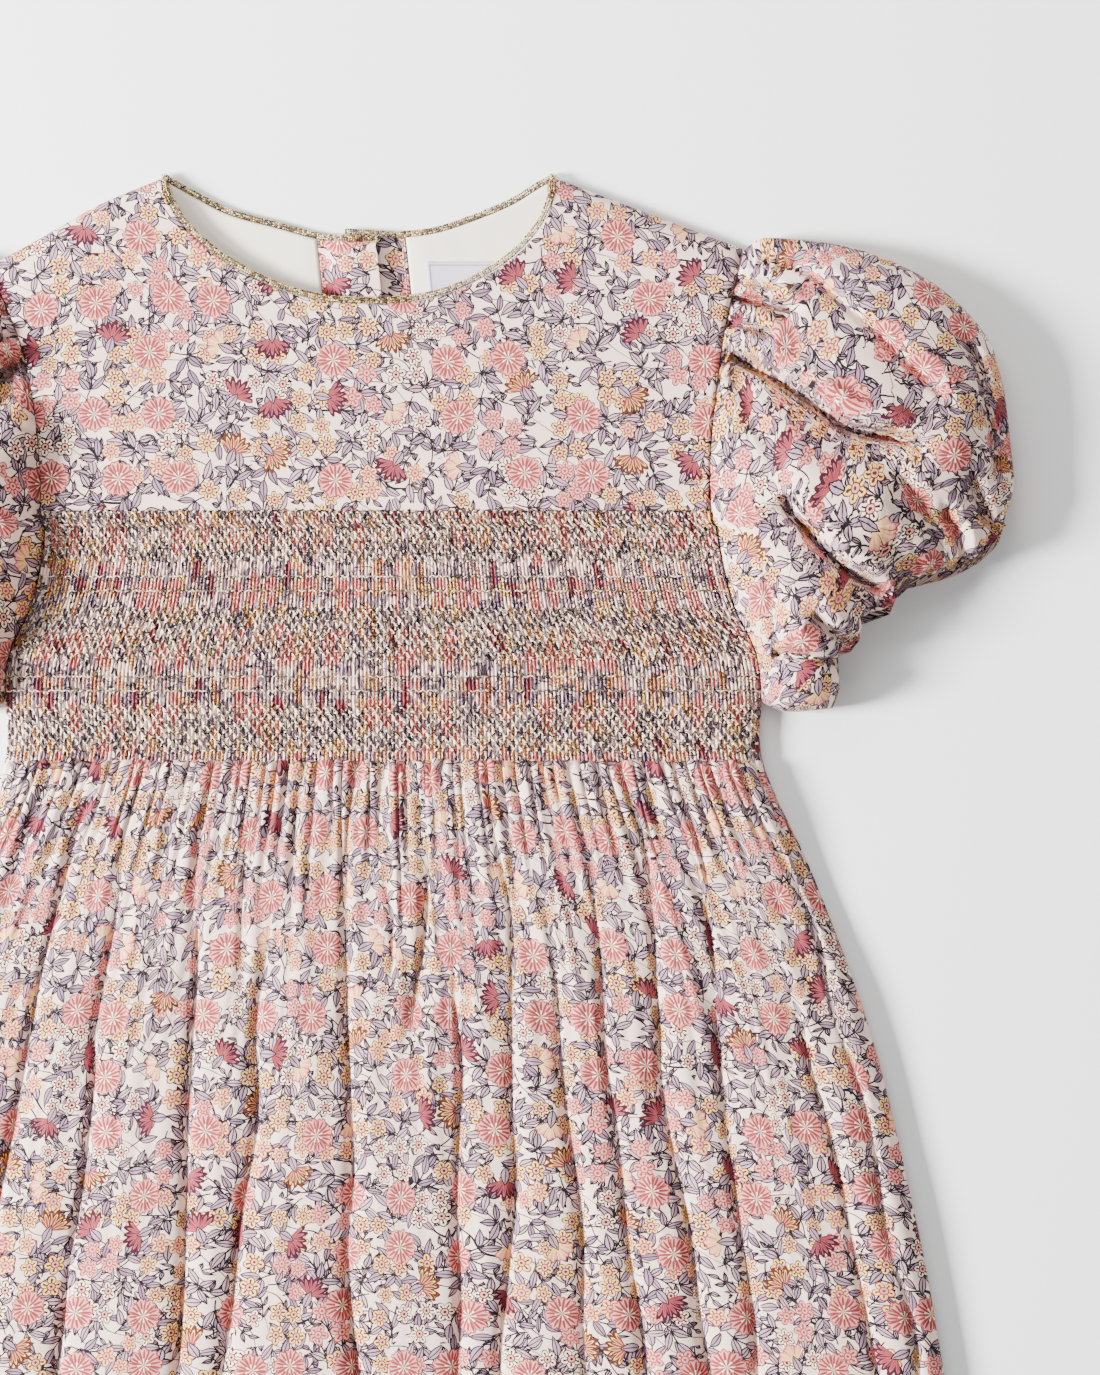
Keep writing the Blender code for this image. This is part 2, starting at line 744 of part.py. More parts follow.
def main():
    for obj in list(bpy.data.objects):
        bpy.data.objects.remove(obj)
    dress = bpy.data.collections.new("smocked_dress")
    bpy.context.scene.collection.children.link(dress)
    yoke_front()
    smocked_front()
    skirt_front()
    skirt_back()
    bodice_back("bodice_back_left", 1, BACK_NECK_LEFT)
    bodice_back("bodice_back_right", -1, BACK_NECK_RIGHT)
    facing("placket_left", 1, BACK_NECK_LEFT, LAP_LOW_EDGE, PLACKET_LEFT_EDGE, 1, PRINT)
    facing("placket_right", -1, BACK_NECK_RIGHT, -LAP_HIGH_EDGE, -PLACKET_RIGHT_EDGE, 1, PRINT)
    facing("lining_back_left", 1, BACK_NECK_LEFT, PLACKET_LEFT_EDGE + SEAM_GAP,
           LINING_END, 1, PLAIN)
    facing("lining_back_right", -1, BACK_NECK_RIGHT, SEAM_GAP - PLACKET_RIGHT_EDGE,
           LINING_END, 1, PLAIN)
    neck_pipings()
    label()
    for number, y in enumerate(BUTTON_HEIGHTS, start=1):
        button(f"button_{number}", y)
    sleeve("sleeve_left", 1)
    sleeve("sleeve_right", -1)


main()
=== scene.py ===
"""Looks of a smocked dress for a child, laid on its back with the front facing the camera.

Every piece of cloth is a thin shell on the form of its solid. Sizes are in millimetres, measured
from the dress's straight centre line, and DressShape.place() brings points to the scene.
"""

from __future__ import annotations

import logging
import math
from collections.abc import Callable, Sequence
from dataclasses import dataclass, field
from enum import Enum

import bpy
import numpy as np
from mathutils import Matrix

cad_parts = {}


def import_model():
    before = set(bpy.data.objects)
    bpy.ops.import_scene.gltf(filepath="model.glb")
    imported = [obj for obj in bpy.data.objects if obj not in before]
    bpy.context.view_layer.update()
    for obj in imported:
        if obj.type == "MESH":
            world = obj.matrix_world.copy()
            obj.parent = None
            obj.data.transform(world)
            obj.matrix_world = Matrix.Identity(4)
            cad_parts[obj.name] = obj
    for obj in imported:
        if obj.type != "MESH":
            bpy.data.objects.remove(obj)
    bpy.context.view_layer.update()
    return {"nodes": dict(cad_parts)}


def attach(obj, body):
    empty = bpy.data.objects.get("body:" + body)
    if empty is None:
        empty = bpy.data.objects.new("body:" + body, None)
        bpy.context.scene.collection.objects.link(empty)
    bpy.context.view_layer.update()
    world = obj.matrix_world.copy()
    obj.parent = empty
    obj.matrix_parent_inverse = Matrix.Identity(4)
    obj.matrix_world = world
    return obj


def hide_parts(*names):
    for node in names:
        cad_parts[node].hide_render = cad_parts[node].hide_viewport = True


log = logging.getLogger("smocked_dress")

MM = 0.001
CLOTH_MAP = "cloth"


class Slot(Enum):
    """Finishes of the cloth pieces, by material name."""

    PRINT = "print_cotton"
    LINING = "plain_lining"
    THREAD = "metal_thread"
    LABEL = "label_weave"
    BUTTON = "button_shell"


def from_screen(red: int, green: int, blue: int) -> tuple[float, float, float, float]:
    """Linear colour of a screen colour.

    Args:
        red: Red from 0 to 255.
        green: Green from 0 to 255.
        blue: Blue from 0 to 255.

    Returns:
        Linear red, green and blue, and an alpha of 1.
    """
    parts = [part / 255.0 for part in (red, green, blue)]
    linear = [c / 12.92 if c <= 0.04045 else ((c + 0.055) / 1.055) ** 2.4 for c in parts]
    return (*linear, 1.0)


@dataclass(frozen=True)
class Socket:
    """An output of a material's node tree, with Python's arithmetic on it."""

    graph: "Graph"
    link: bpy.types.NodeSocket

    def __add__(self, other: Value) -> Socket:
        """Sum."""
        return self.graph.maths("ADD", self, other)

    __radd__ = __add__

    def __sub__(self, other: Value) -> Socket:
        """Difference."""
        return self.graph.maths("SUBTRACT", self, other)

    def __rsub__(self, other: Value) -> Socket:
        """Difference from a number."""
        return self.graph.maths("SUBTRACT", other, self)

    def __mul__(self, other: Value) -> Socket:
        """Product."""
        return self.graph.maths("MULTIPLY", self, other)

    __rmul__ = __mul__

    def __truediv__(self, other: Value) -> Socket:
        """Quotient."""
        return self.graph.maths("DIVIDE", self, other)

    def __mod__(self, other: Value) -> Socket:
        """Remainder that is never negative."""
        return self.graph.maths("FLOORED_MODULO", self, other)

    def __abs__(self) -> Socket:
        """Size without its sign."""
        return self.graph.maths("ABSOLUTE", self)

    def __lt__(self, other: Value) -> Socket:
        """1 where this is less than the other, and 0 elsewhere."""
        return self.graph.maths("LESS_THAN", self, other)

    def __gt__(self, other: Value) -> Socket:
        """1 where this is more than the other, and 0 elsewhere."""
        return self.graph.maths("GREATER_THAN", self, other)


Value = Socket | float


class Graph:
    """One material and the node tree that paints it."""

    def __init__(self, name: str) -> None:
        """Starts an empty tree with an output."""
        self.material = bpy.data.materials.new(name)
        self.material.use_nodes = True
        self.tree = self.material.node_tree
        self.tree.nodes.clear()
        self.output = self.tree.nodes.new("ShaderNodeOutputMaterial")

    def node(
        self,
        kind: str,
        settings: dict[str, object] | None = None,
        inputs: dict[str | int, object] | None = None,
    ) -> bpy.types.Node:
        """Adds a node.

        Args:
            kind: The node's type.
            settings: Properties, set first. "stops" fills a colour ramp.
            inputs: Values or links of its sockets, by name or number.

        Returns:
            The new node.
        """
        made = self.tree.nodes.new(kind)
        for key, value in (settings or {}).items():
            if key == "stops":
                self.fill_ramp(made, value)
            else:
                setattr(made, key, value)
        for key, value in (inputs or {}).items():
            if isinstance(value, Socket):
                self.tree.links.new(value.link, made.inputs[key])
            else:
                made.inputs[key].default_value = value
        return made

    @staticmethod
    def fill_ramp(made: bpy.types.Node, stops: Sequence[tuple[float, tuple]]) -> None:
        """Sets a ramp's stops.

        Args:
            made: The ramp node.
            stops: Place and colour of each stop, in order.
        """
        elements = made.color_ramp.elements
        while len(elements) < len(stops):
            elements.new(1.0)
        for element, (place, colour) in zip(elements, stops):
            element.position = place
            element.color = colour

    def maths(self, operation: str, first: Value, second: Value | None = None) -> Socket:
        """One Math node.

        Args:
            operation: The node's operation.
            first: Its first value.
            second: Its second value, where it has one.

        Returns:
            The result.
        """
        inputs = {0: first} if second is None else {0: first, 1: second}
        made = self.node("ShaderNodeMath", {"operation": operation}, inputs)
        return Socket(self, made.outputs[0])

    def vector(self, operation: str, first: object, second: object, out: str = "Vector") -> Socket:
        """One Vector Math node.

        Args:
            operation: The node's operation.
            first: Its first vector.
            second: Its second vector, or a scale.
            out: The output that is wanted.

        Returns:
            The result.
        """
        key = "Scale" if operation == "SCALE" else 1
        made = self.node("ShaderNodeVectorMath", {"operation": operation}, {0: first, key: second})
        return Socket(self, made.outputs[out])

    def mix(self, share: Value, low: object, high: object, blend: str = "MIX") -> Socket:
        """A mix of two colours.

        Args:
            share: How much of the second colour shows.
            low: First colour.
            high: Second colour.
            blend: How they are blended.

        Returns:
            The mixed colour.
        """
        made = self.node(
            "ShaderNodeMix",
            {"data_type": "RGBA", "blend_type": blend},
            {0: share, 6: low, 7: high},
        )
        return Socket(self, made.outputs[2])

    def lookup(
        self, at: Value, stops: Sequence[tuple[float, tuple]], smooth: bool = False
    ) -> Socket:
        """A colour read from a short table by a value from 0 to 1.

        Args:
            at: The value.
            stops: Where each colour starts, and the colour.
            smooth: Whether colours run into each other.

        Returns:
            The colour.
        """
        made = self.node("ShaderNodeValToRGB", {"stops": stops}, {0: at})
        made.color_ramp.interpolation = "LINEAR" if smooth else "CONSTANT"
        return Socket(self, made.outputs[0])

    def split(self, vector: Socket, colour: bool = False) -> tuple[Socket, Socket, Socket]:
        """The three parts of a vector or a colour."""
        kind = "ShaderNodeSeparateColor" if colour else "ShaderNodeSeparateXYZ"
        made = self.node(kind, None, {0: vector})
        return tuple(Socket(self, out) for out in made.outputs[:3])

    def cloth_place(self) -> Socket:
        """Place on the flat cloth in millimetres, from the piece's own map."""
        made = self.node("ShaderNodeUVMap", {"uv_map": CLOTH_MAP})
        return self.vector("SCALE", Socket(self, made.outputs[0]), 1.0 / MM)

    def object_place(self) -> Socket:
        """Place in the object, in metres."""
        made = self.node("ShaderNodeTexCoord")
        return Socket(self, made.outputs["Object"])

    def noise(self, at: Socket, scale: float, detail: float = 2.0, rough: float = 0.5) -> Socket:
        """Soft noise from 0 to 1."""
        made = self.node(
            "ShaderNodeTexNoise",
            None,
            {"Vector": at, "Scale": scale, "Detail": detail, "Roughness": rough},
        )
        return Socket(self, made.outputs[0])

    def finish(self, inputs: dict[str, object]) -> bpy.types.Material:
        """The material, with one surface shader that has these inputs."""
        shader = self.node("ShaderNodeBsdfPrincipled", None, inputs)
        self.tree.links.new(shader.outputs[0], self.output.inputs[0])
        return self.material


@dataclass(frozen=True)
class Motif:
    """One layer of scattered motifs: where each one lies and how it is turned."""

    x: Socket
    y: Socket
    radius: Socket
    angle: Socket
    centre: Socket
    pick: Socket
    tone: Socket


class Drawing(Enum):
    """What a layer of the print draws."""

    SPRIG = "sprig"
    SMALL_FLOWER = "small flower"
    BLOOM = "bloom"


@dataclass(frozen=True)
class Layer:
    """One layer of the print. Lengths are in millimetres."""

    drawing: Drawing
    pitch: float
    loose: float
    shift: float
    size: float
    pairs: int = 0


@dataclass(frozen=True)
class PrintCotton:
    """Fine cotton with a small scattered flower print, worked out from simple shapes."""

    ground: tuple = from_screen(238, 208, 194)
    leaf_pale: tuple = from_screen(188, 156, 166)
    leaf_deep: tuple = from_screen(132, 106, 124)
    leaf_line: tuple = from_screen(26, 19, 25)
    pink: tuple = from_screen(220, 146, 136)
    rose: tuple = from_screen(138, 56, 58)
    wine: tuple = from_screen(62, 18, 30)
    mauve: tuple = from_screen(150, 80, 96)
    butter: tuple = from_screen(238, 192, 124)
    ochre: tuple = from_screen(84, 40, 20)
    cream: tuple = from_screen(248, 226, 196)
    line: float = 0.48
    rib_half_width: float = 0.2
    rib_end: float = 0.85
    stem_half_width: float = 0.3
    stem_bend: float = 0.28
    leaf_spacing: float = 0.86
    leaf_cosine: float = 0.74
    leaf_sine: float = 0.67
    cluster_pitch: float = 20.0
    cluster_radius: float = 9.4
    vine_half_width: float = 0.23
    vine_bends: float = 0.05
    vine_sway: float = 20.0
    vine_pitch: float = 10.0
    layers: tuple[Layer, ...] = (
        Layer(Drawing.SPRIG, 11.0, 0.7, 57.0, 4.6, 2),
        Layer(Drawing.SPRIG, 13.0, 0.6, 140.0, 7.0, 1),
        Layer(Drawing.SPRIG, 14.0, 0.6, 3.0, 8.0, 1),
        Layer(Drawing.SMALL_FLOWER, 9.0, 0.5, 21.0, 4.4),
        Layer(Drawing.BLOOM, 23.0, 0.55, 88.0, 7.8),
    )

    def scatter(self, graph: Graph, at: Socket, cell: float, loose: float, shift: float) -> Motif:
        """Spreads motifs over the cloth, one to a cell, each turned its own way.

        Args:
            graph: The material's graph.
            at: Place on the cloth in millimetres.
            cell: Distance between motifs.
            loose: How far they stray from a regular grid, from 0 to 1.
            shift: Moves the layer so that layers don't line up.

        Returns:
            The place inside the nearest motif.
        """
        moved = graph.vector("ADD", at, (shift, shift * 0.37, 0.0))
        cells = graph.node(
            "ShaderNodeTexVoronoi",
            {"voronoi_dimensions": "2D", "feature": "F1"},
            {"Vector": moved, "Scale": 1.0 / cell, "Randomness": loose},
        )
        centre = Socket(graph, cells.outputs["Position"])
        turn, pick, tone = graph.split(Socket(graph, cells.outputs["Color"]), colour=True)
        away = graph.vector("SUBTRACT", moved, centre)
        turned = graph.node(
            "ShaderNodeVectorRotate",
            {"rotation_type": "Z_AXIS"},
            {"Vector": away, "Angle": turn * (2.0 * math.pi)},
        )
        x, y, _ = graph.split(Socket(graph, turned.outputs[0]))
        radius = graph.vector("LENGTH", away, (0.0, 0.0, 0.0), out="Value")
        return Motif(x, y, radius, graph.maths("ARCTAN2", y, x), centre, pick, tone)

    def leaf(
        self, graph: Graph, below: Socket, along: Socket, away: Socket,
        length: float, width: float, fill: Socket, shown: Value = 1.0,
    ) -> Socket:
        """Draws one pointed leaf with an outline and a midrib.

        Args:
            graph: The material's graph.
            below: Colour under it.
            along: Distance from its root, along it.
            away: Distance from its midrib.
            length: Its length.
            width: Half of its width.
            fill: Its colour.
            shown: 1 where it may show.

        Returns:
            The colour with the leaf on it.
        """
        share = graph.maths("MINIMUM", along / length, 1.0)
        swell = share * (1.0 - share) * (1.3 - share * 0.6) * (4.0 * width)
        inside = (away < swell) * shown
        core = inside * (away < swell - self.line)
        rib = core * (away < self.rib_half_width) * (share < self.rib_end)
        painted = graph.mix(inside, below, self.leaf_line)
        painted = graph.mix(core, painted, fill)
        return graph.mix(rib, painted, self.leaf_line)

    def sprigs(self, graph: Graph, below: Socket, motif: Motif, size: float, pairs: int) -> Socket:
        """Draws leafy sprigs: a bent stem with pairs of slanting leaves and one at its tip.

        Args:
            graph: The material's graph.
            below: Colour under the sprigs.
            motif: Where they lie.
            size: Length of a leaf.
            pairs: How many pairs of leaves a stem has.

        Returns:
            The colour with the sprigs on it.
        """
        bend = motif.y - motif.x * motif.x * (self.stem_bend / size)
        side = abs(bend)
        span = size * self.leaf_spacing
        first = -span * (pairs - 0.35)
        tip = first + span * pairs
        fill = graph.mix(motif.tone, self.leaf_pale, self.leaf_deep)
        stem = (side < self.stem_half_width) * (motif.x > first - size * 0.8) * (motif.x < tip)
        painted = graph.mix(stem, below, self.leaf_line)
        step = (motif.x - first) % span
        inside = (motif.x > first) * (motif.x < tip)
        along = step * self.leaf_cosine + side * self.leaf_sine
        away = abs(side * self.leaf_cosine - step * self.leaf_sine - self.stem_half_width)
        painted = self.leaf(graph, painted, along, away, size, size * 0.2, fill, inside)
        from_tip = motif.x - tip + size * 0.3
        return self.leaf(graph, painted, from_tip, side, size * 1.05, size * 0.22, fill)

    def vines(self, graph: Graph, below: tuple, at: Socket) -> Socket:
        """Draws long thin winding stems.

        Args:
            graph: The material's graph.
            below: Colour under the stems.
            at: Place on the cloth in millimetres.

        Returns:
            The colour with the stems on it.
        """
        x, y, _ = graph.split(at)
        bent = x * 0.5 + y * 0.87 + graph.noise(at, self.vine_bends, 0.0) * self.vine_sway
        away = abs(bent % self.vine_pitch - self.vine_pitch / 2)
        return graph.mix(away < self.vine_half_width, below, self.leaf_line)

    def small_flowers(self, graph: Graph, below: Socket, motif: Motif, size: float) -> Socket:
        """Draws clusters of small flowers, each cluster in one of four colourings.

        Args:
            graph: The material's graph.
            below: Colour under the flowers.
            motif: Where they lie.
            size: Radius of the largest.

        Returns:
            The colour with the flowers on it.
        """
        group = self.scatter(graph, motif.centre, self.cluster_pitch, 0.7, 9.0)
        shown = group.radius < self.cluster_radius
        five = group.tone < 0.5
        wave = abs(graph.maths("COSINE", motif.angle * (3.0 - five * 0.5)))
        edge = (wave * 0.4 + 0.6) * (size * (motif.pick * 0.2 + 0.8))
        inside = (motif.radius < edge) * shown
        core = inside * (motif.radius < edge - self.line)
        petal = graph.lookup(group.pick, (
            (0.0, self.butter), (0.42, self.pink), (0.62, self.cream), (0.8, self.butter),
        ))
        deep = graph.lookup(group.pick, (
            (0.0, self.ochre), (0.42, self.rose), (0.62, self.wine), (0.8, self.rose),
        ))
        dash = core * (wave > 0.93) * (motif.radius < edge * 0.72)
        notch = core * (wave < 0.2)
        painted = graph.mix(inside, below, deep)
        painted = graph.mix(core, painted, petal)
        painted = graph.mix((dash + notch) > 0.5, painted, deep)
        painted = graph.mix(inside * (motif.radius < size * 0.36), painted, deep)
        painted = graph.mix(inside * (motif.radius < size * 0.27), painted, self.pink)
        return graph.mix(inside * (motif.radius < size * 0.12), painted, deep)

    def blooms(self, graph: Graph, below: Socket, motif: Motif, size: float) -> Socket:
        """Draws large blooms: open ones with fringed petals, and fans on a leafy cup.

        Args:
            graph: The material's graph.
            below: Colour under the blooms.
            motif: Where they lie.
            size: Radius of the largest.

        Returns:
            The colour with the blooms on it.
        """
        opened = motif.pick < 0.44
        fringed = motif.pick > 0.6
        wave = abs(graph.maths("COSINE", motif.angle * 4.0))
        fringe = abs(graph.maths("COSINE", motif.angle * 9.0))
        edge = (wave * 0.12 + fringe * (fringed * 0.2 + 0.1) + 0.7) * size
        petals = (((abs(motif.angle) < 1.2) + opened) > 0.5) * (motif.radius < edge)
        core = petals * (motif.radius < edge - self.line)
        share = motif.radius / size
        outer = graph.lookup(motif.pick, (
            (0.0, self.pink), (0.44, self.pink), (0.6, self.mauve), (0.85, self.butter),
        ))
        inner = graph.lookup(motif.pick, (
            (0.0, self.rose), (0.44, self.butter), (0.6, self.rose), (0.85, self.rose),
        ))
        line = graph.lookup(motif.pick, (
            (0.0, self.rose), (0.44, self.rose), (0.6, self.wine), (0.85, self.ochre),
        ))
        streak = (share - fringe * 0.62) < 0.16
        tips = fringed * ((share - fringe * 0.5) > 0.38)
        painted = graph.mix(petals, below, line)
        painted = graph.mix(core, painted, outer)
        painted = graph.mix(core * streak, painted, inner)
        painted = graph.mix(core * ((wave < 0.16) + tips > 0.5) * (share > 0.3), painted, line)
        painted = graph.mix(opened * (wave > 0.86) * (share < 0.34), painted, self.cream)
        cup = 1.0 - opened
        return self.leaf(
            graph, painted, motif.x + size * 0.62, abs(motif.y),
            size * 0.95, size * 0.24, graph.mix(0.5, self.leaf_pale, self.leaf_deep), cup,
        )

    def material(self) -> bpy.types.Material:
        """The printed cloth: layers of sprigs and flowers, and a fine weave."""
        graph = Graph("print_cotton")
        at = graph.cloth_place()
        painted = self.vines(graph, self.ground, at)
        for layer in self.layers:
            motif = self.scatter(graph, at, layer.pitch, layer.loose, layer.shift)
            if layer.drawing is Drawing.SPRIG:
                painted = self.sprigs(graph, painted, motif, layer.size, layer.pairs)
            elif layer.drawing is Drawing.SMALL_FLOWER:
                painted = self.small_flowers(graph, painted, motif, layer.size)
            else:
                painted = self.blooms(graph, painted, motif, layer.size)
        return graph.finish({
            "Base Color": painted,
            "Roughness": 0.85,
            "Specular IOR Level": 0.2,
            "Normal": weave_normal(graph, at, thread=0.33, depth=0.04),
        })


def weave_normal(graph: Graph, at: Socket, thread: float, depth: float) -> Socket:
    """Plain weave as bump: threads over and under in turn.

    Args:
        graph: The material's graph.
        at: Place on the cloth in millimetres.
        thread: Distance between threads.
        depth: Height of a thread, in millimetres.

    Returns:
        The normal.
    """
    x, y, _ = graph.split(at)
    turn = math.pi / thread
    height = graph.maths("SINE", x * turn) * graph.maths("SINE", y * turn)
    slub = graph.noise(at, 0.8, 2.0)
    bump = graph.node("ShaderNodeBump", None, {
        "Strength": 0.6, "Distance": depth * MM, "Height": height + slub * 1.5,
    })
    return Socket(graph, bump.outputs[0])


@dataclass(frozen=True)
class PlainCotton:
    """Off-white lining cotton, with soft shade painted into it in cloudy patches."""

    colour: tuple = from_screen(244, 234, 220)
    # painted shade: the darker colour that the lining's cloudy patches of shade are painted in
    painted_shade_colour: tuple = from_screen(228, 212, 198)

    def material(self) -> bpy.types.Material:
        """The lining, darkened in cloudy patches by painted shade."""
        graph = Graph("plain_lining")
        at = graph.cloth_place()
        # painted shade: noise mixes up to 30 percent of the painted shade colour into the lining
        cloudy = graph.mix(graph.noise(at, 0.06, 3.0) * 0.3, self.colour, self.painted_shade_colour)
        return graph.finish({
            "Base Color": cloudy,
            "Roughness": 0.85,
            "Specular IOR Level": 0.2,
            "Normal": weave_normal(graph, at, thread=0.36, depth=0.06),
        })


@dataclass(frozen=True)
class MetalThread:
    """Glossy metallic thread, each stitch with its own tone, with glints painted on in a pale
    colour.
    """

    # painted highlight: the pale end of the ramp paints the glints of the metal
    pale: tuple = from_screen(250, 240, 214)
    gold: tuple = from_screen(200, 174, 118)
    olive: tuple = from_screen(84, 74, 56)
    dark: tuple = from_screen(34, 28, 26)
    tone_share: float = 0.6
    painted_glint_share: float = 0.6
    painted_glint_scale: float = 2600.0
    dimming: float = 0.1

    def material(self, name: str, shift: float) -> bpy.types.Material:
        """A thread finish.

        Args:
            name: The material's name.
            shift: Moves the mix of tones towards the pale ones, the painted glints.

        Returns:
            The material.
        """
        graph = Graph(name)
        tone = graph.node("ShaderNodeAttribute", {"attribute_name": "tone"})
        # painted glints: fine noise lifts small spots of each stitch towards the pale highlight
        # colour
        painted_glint = graph.noise(graph.object_place(), self.painted_glint_scale, 1.0)
        own = Socket(graph, tone.outputs["Fac"]) * self.tone_share
        at = own + painted_glint * self.painted_glint_share + (shift - self.dimming)
        # the ramp runs from the thread's dark, olive and gold tones up to the painted pale
        # highlight
        colour = graph.lookup(at, (
            (0.34, self.dark), (0.46, self.olive), (0.6, self.gold), (0.72, self.pale),
        ), smooth=True)
        return graph.finish({"Base Color": colour, "Metallic": 0.4, "Roughness": 0.4})


@dataclass(frozen=True)
class LabelWeave:
    """Smooth woven ribbon of a blank label."""

    size: tuple[float, float]
    colour: tuple = from_screen(212, 204, 212)
    rib_colour: tuple = from_screen(192, 184, 196)
    border_colour: tuple = from_screen(112, 100, 122)
    border_inset: float = 1.4
    border_width: float = 0.45
    rib_pitch: float = 0.5

    def material(self) -> bpy.types.Material:
        """The label: ribbed weave with a plain line woven inside its edge."""
        graph = Graph("label_weave")
        at = graph.cloth_place()
        x, y, _ = graph.split(at)
        rib = graph.maths("SINE", y * (2.0 * math.pi / self.rib_pitch))
        half_wide, half_high = self.size[0] / 2, self.size[1] / 2
        from_side = half_wide - abs(x - half_wide)
        from_edge = graph.maths("MINIMUM", from_side, half_high - abs(y - half_high))
        border = abs(from_edge - self.border_inset) < self.border_width / 2
        colour = graph.mix(rib * 0.25 + 0.25, self.colour, self.rib_colour)
        colour = graph.mix(border * 0.8, colour, self.border_colour)
        bump = graph.node("ShaderNodeBump", None, {
            "Strength": 0.5, "Distance": 0.05 * MM, "Height": rib,
        })
        normal = Socket(graph, bump.outputs[0])
        return graph.finish({"Base Color": colour, "Roughness": 0.5, "Normal": normal})


@dataclass(frozen=True)
class ButtonShell:
    """Pearly button."""

    pale: tuple = from_screen(236, 230, 224)
    warm: tuple = from_screen(205, 192, 184)

    def material(self) -> bpy.types.Material:
        """The button."""
        graph = Graph("button_shell")
        cloudy = graph.noise(graph.object_place(), 320.0, 3.0)
        return graph.finish({
            "Base Color": graph.mix(cloudy, self.warm, self.pale),
            "Roughness": cloudy * 0.15 + 0.15,
            "Coat Weight": 0.4,
        })


@dataclass(frozen=True)
class Finishes:
    """All finishes of the dress, made once."""

    print_cotton: bpy.types.Material
    lining: bpy.types.Material
    stitches: bpy.types.Material
    piping: bpy.types.Material
    sewing: bpy.types.Material
    label: bpy.types.Material
    button: bpy.types.Material

    @staticmethod
    def made() -> Finishes:
        """Makes every finish."""
        return Finishes(
            print_cotton=PrintCotton().material(),
            lining=PlainCotton().material(),
            stitches=MetalThread().material("smocking_thread", 0.04),
            piping=MetalThread(
                # the piping's pale colour is a painted highlight on the gold cord
                pale=from_screen(246, 224, 164), gold=from_screen(190, 150, 82),
                olive=from_screen(104, 78, 40),
            ).material("piping_thread", 0.05),
            sewing=sewing_thread(),
            label=LabelWeave((Label.width, Label.height)).material(),
            button=ButtonShell().material(),
        )


def sewing_thread() -> bpy.types.Material:
    """Plain off-white sewing thread."""
    graph = Graph("sewing_thread")
    twist = graph.noise(graph.object_place(), 2200.0, 1.0)
    colour = graph.mix(twist, from_screen(206, 198, 194), from_screen(240, 236, 232))
    return graph.finish({"Base Color": colour, "Roughness": 0.7})


def linked(name: str, data: bpy.types.ID | None) -> bpy.types.Object:
    """A new object in the scene."""
    made = bpy.data.objects.new(name, data)
    bpy.context.scene.collection.objects.link(made)
    return made


def curve_through(
    points: Sequence[Sequence[float]], count: int, fine: int = 16
) -> np.ndarray:
    """Points evenly spaced along a smooth curve through the given ones.

    Args:
        points: The points that the curve passes.
        count: How many points to give.
        fine: How many steps the curve is worked out in, from one given point to the next.

    Returns:
        The points, one a row.
    """
    knots = np.array(points, float)
    padded = np.vstack([2 * knots[0] - knots[1], knots, 2 * knots[-1] - knots[-2]])
    dense = []
    for a, b, c, d in zip(padded, padded[1:], padded[2:], padded[3:]):
        for t in np.linspace(0.0, 1.0, fine, endpoint=False):
            dense.append(
                0.5 * (2 * b + (c - a) * t + (2 * a - 5 * b + 4 * c - d) * t**2
                       + (3 * b - a - 3 * c + d) * t**3)
            )
    dense.append(knots[-1])
    rows = np.array(dense)
    steps = np.linalg.norm(np.diff(rows, axis=0), axis=1)
    along = np.concatenate([[0.0], np.cumsum(steps)])
    at = np.linspace(0.0, along[-1], count)
    return np.stack([np.interp(at, along, rows[:, axis]) for axis in range(rows.shape[1])], 1)


def smooth_step(share: np.ndarray | float) -> np.ndarray:
    """0 below 0, 1 above 1, and a smooth rise between."""
    share = np.clip(share, 0.0, 1.0)
    return share * share * (3.0 - 2.0 * share)


def quarter_round(share: np.ndarray | float) -> np.ndarray:
    """0 at an edge, rising like a quarter circle to 1."""
    share = np.clip(share, 0.0, 1.0)
    return np.sqrt(1.0 - (1.0 - share) ** 2)


def ripples(at: np.ndarray, seed: int, count: int = 5) -> np.ndarray:
    """A smooth uneven wave between about -1 and 1 along one direction.

    Args:
        at: Place along it; a whole number is about one wave.
        seed: Picks the wave.
        count: How many sines it sums.

    Returns:
        The height at each place.
    """
    draw = np.random.default_rng(seed)
    total = np.zeros_like(at, float)
    paces = draw.uniform(0.45, 1.7, count)
    turns = draw.uniform(0, 2 * math.pi, count)
    sizes = draw.uniform(0.4, 1, count)
    for pace, turn, size in zip(paces, turns, sizes):
        total += size * np.sin(2 * math.pi * pace * at + turn)
    return total / (0.75 * count)


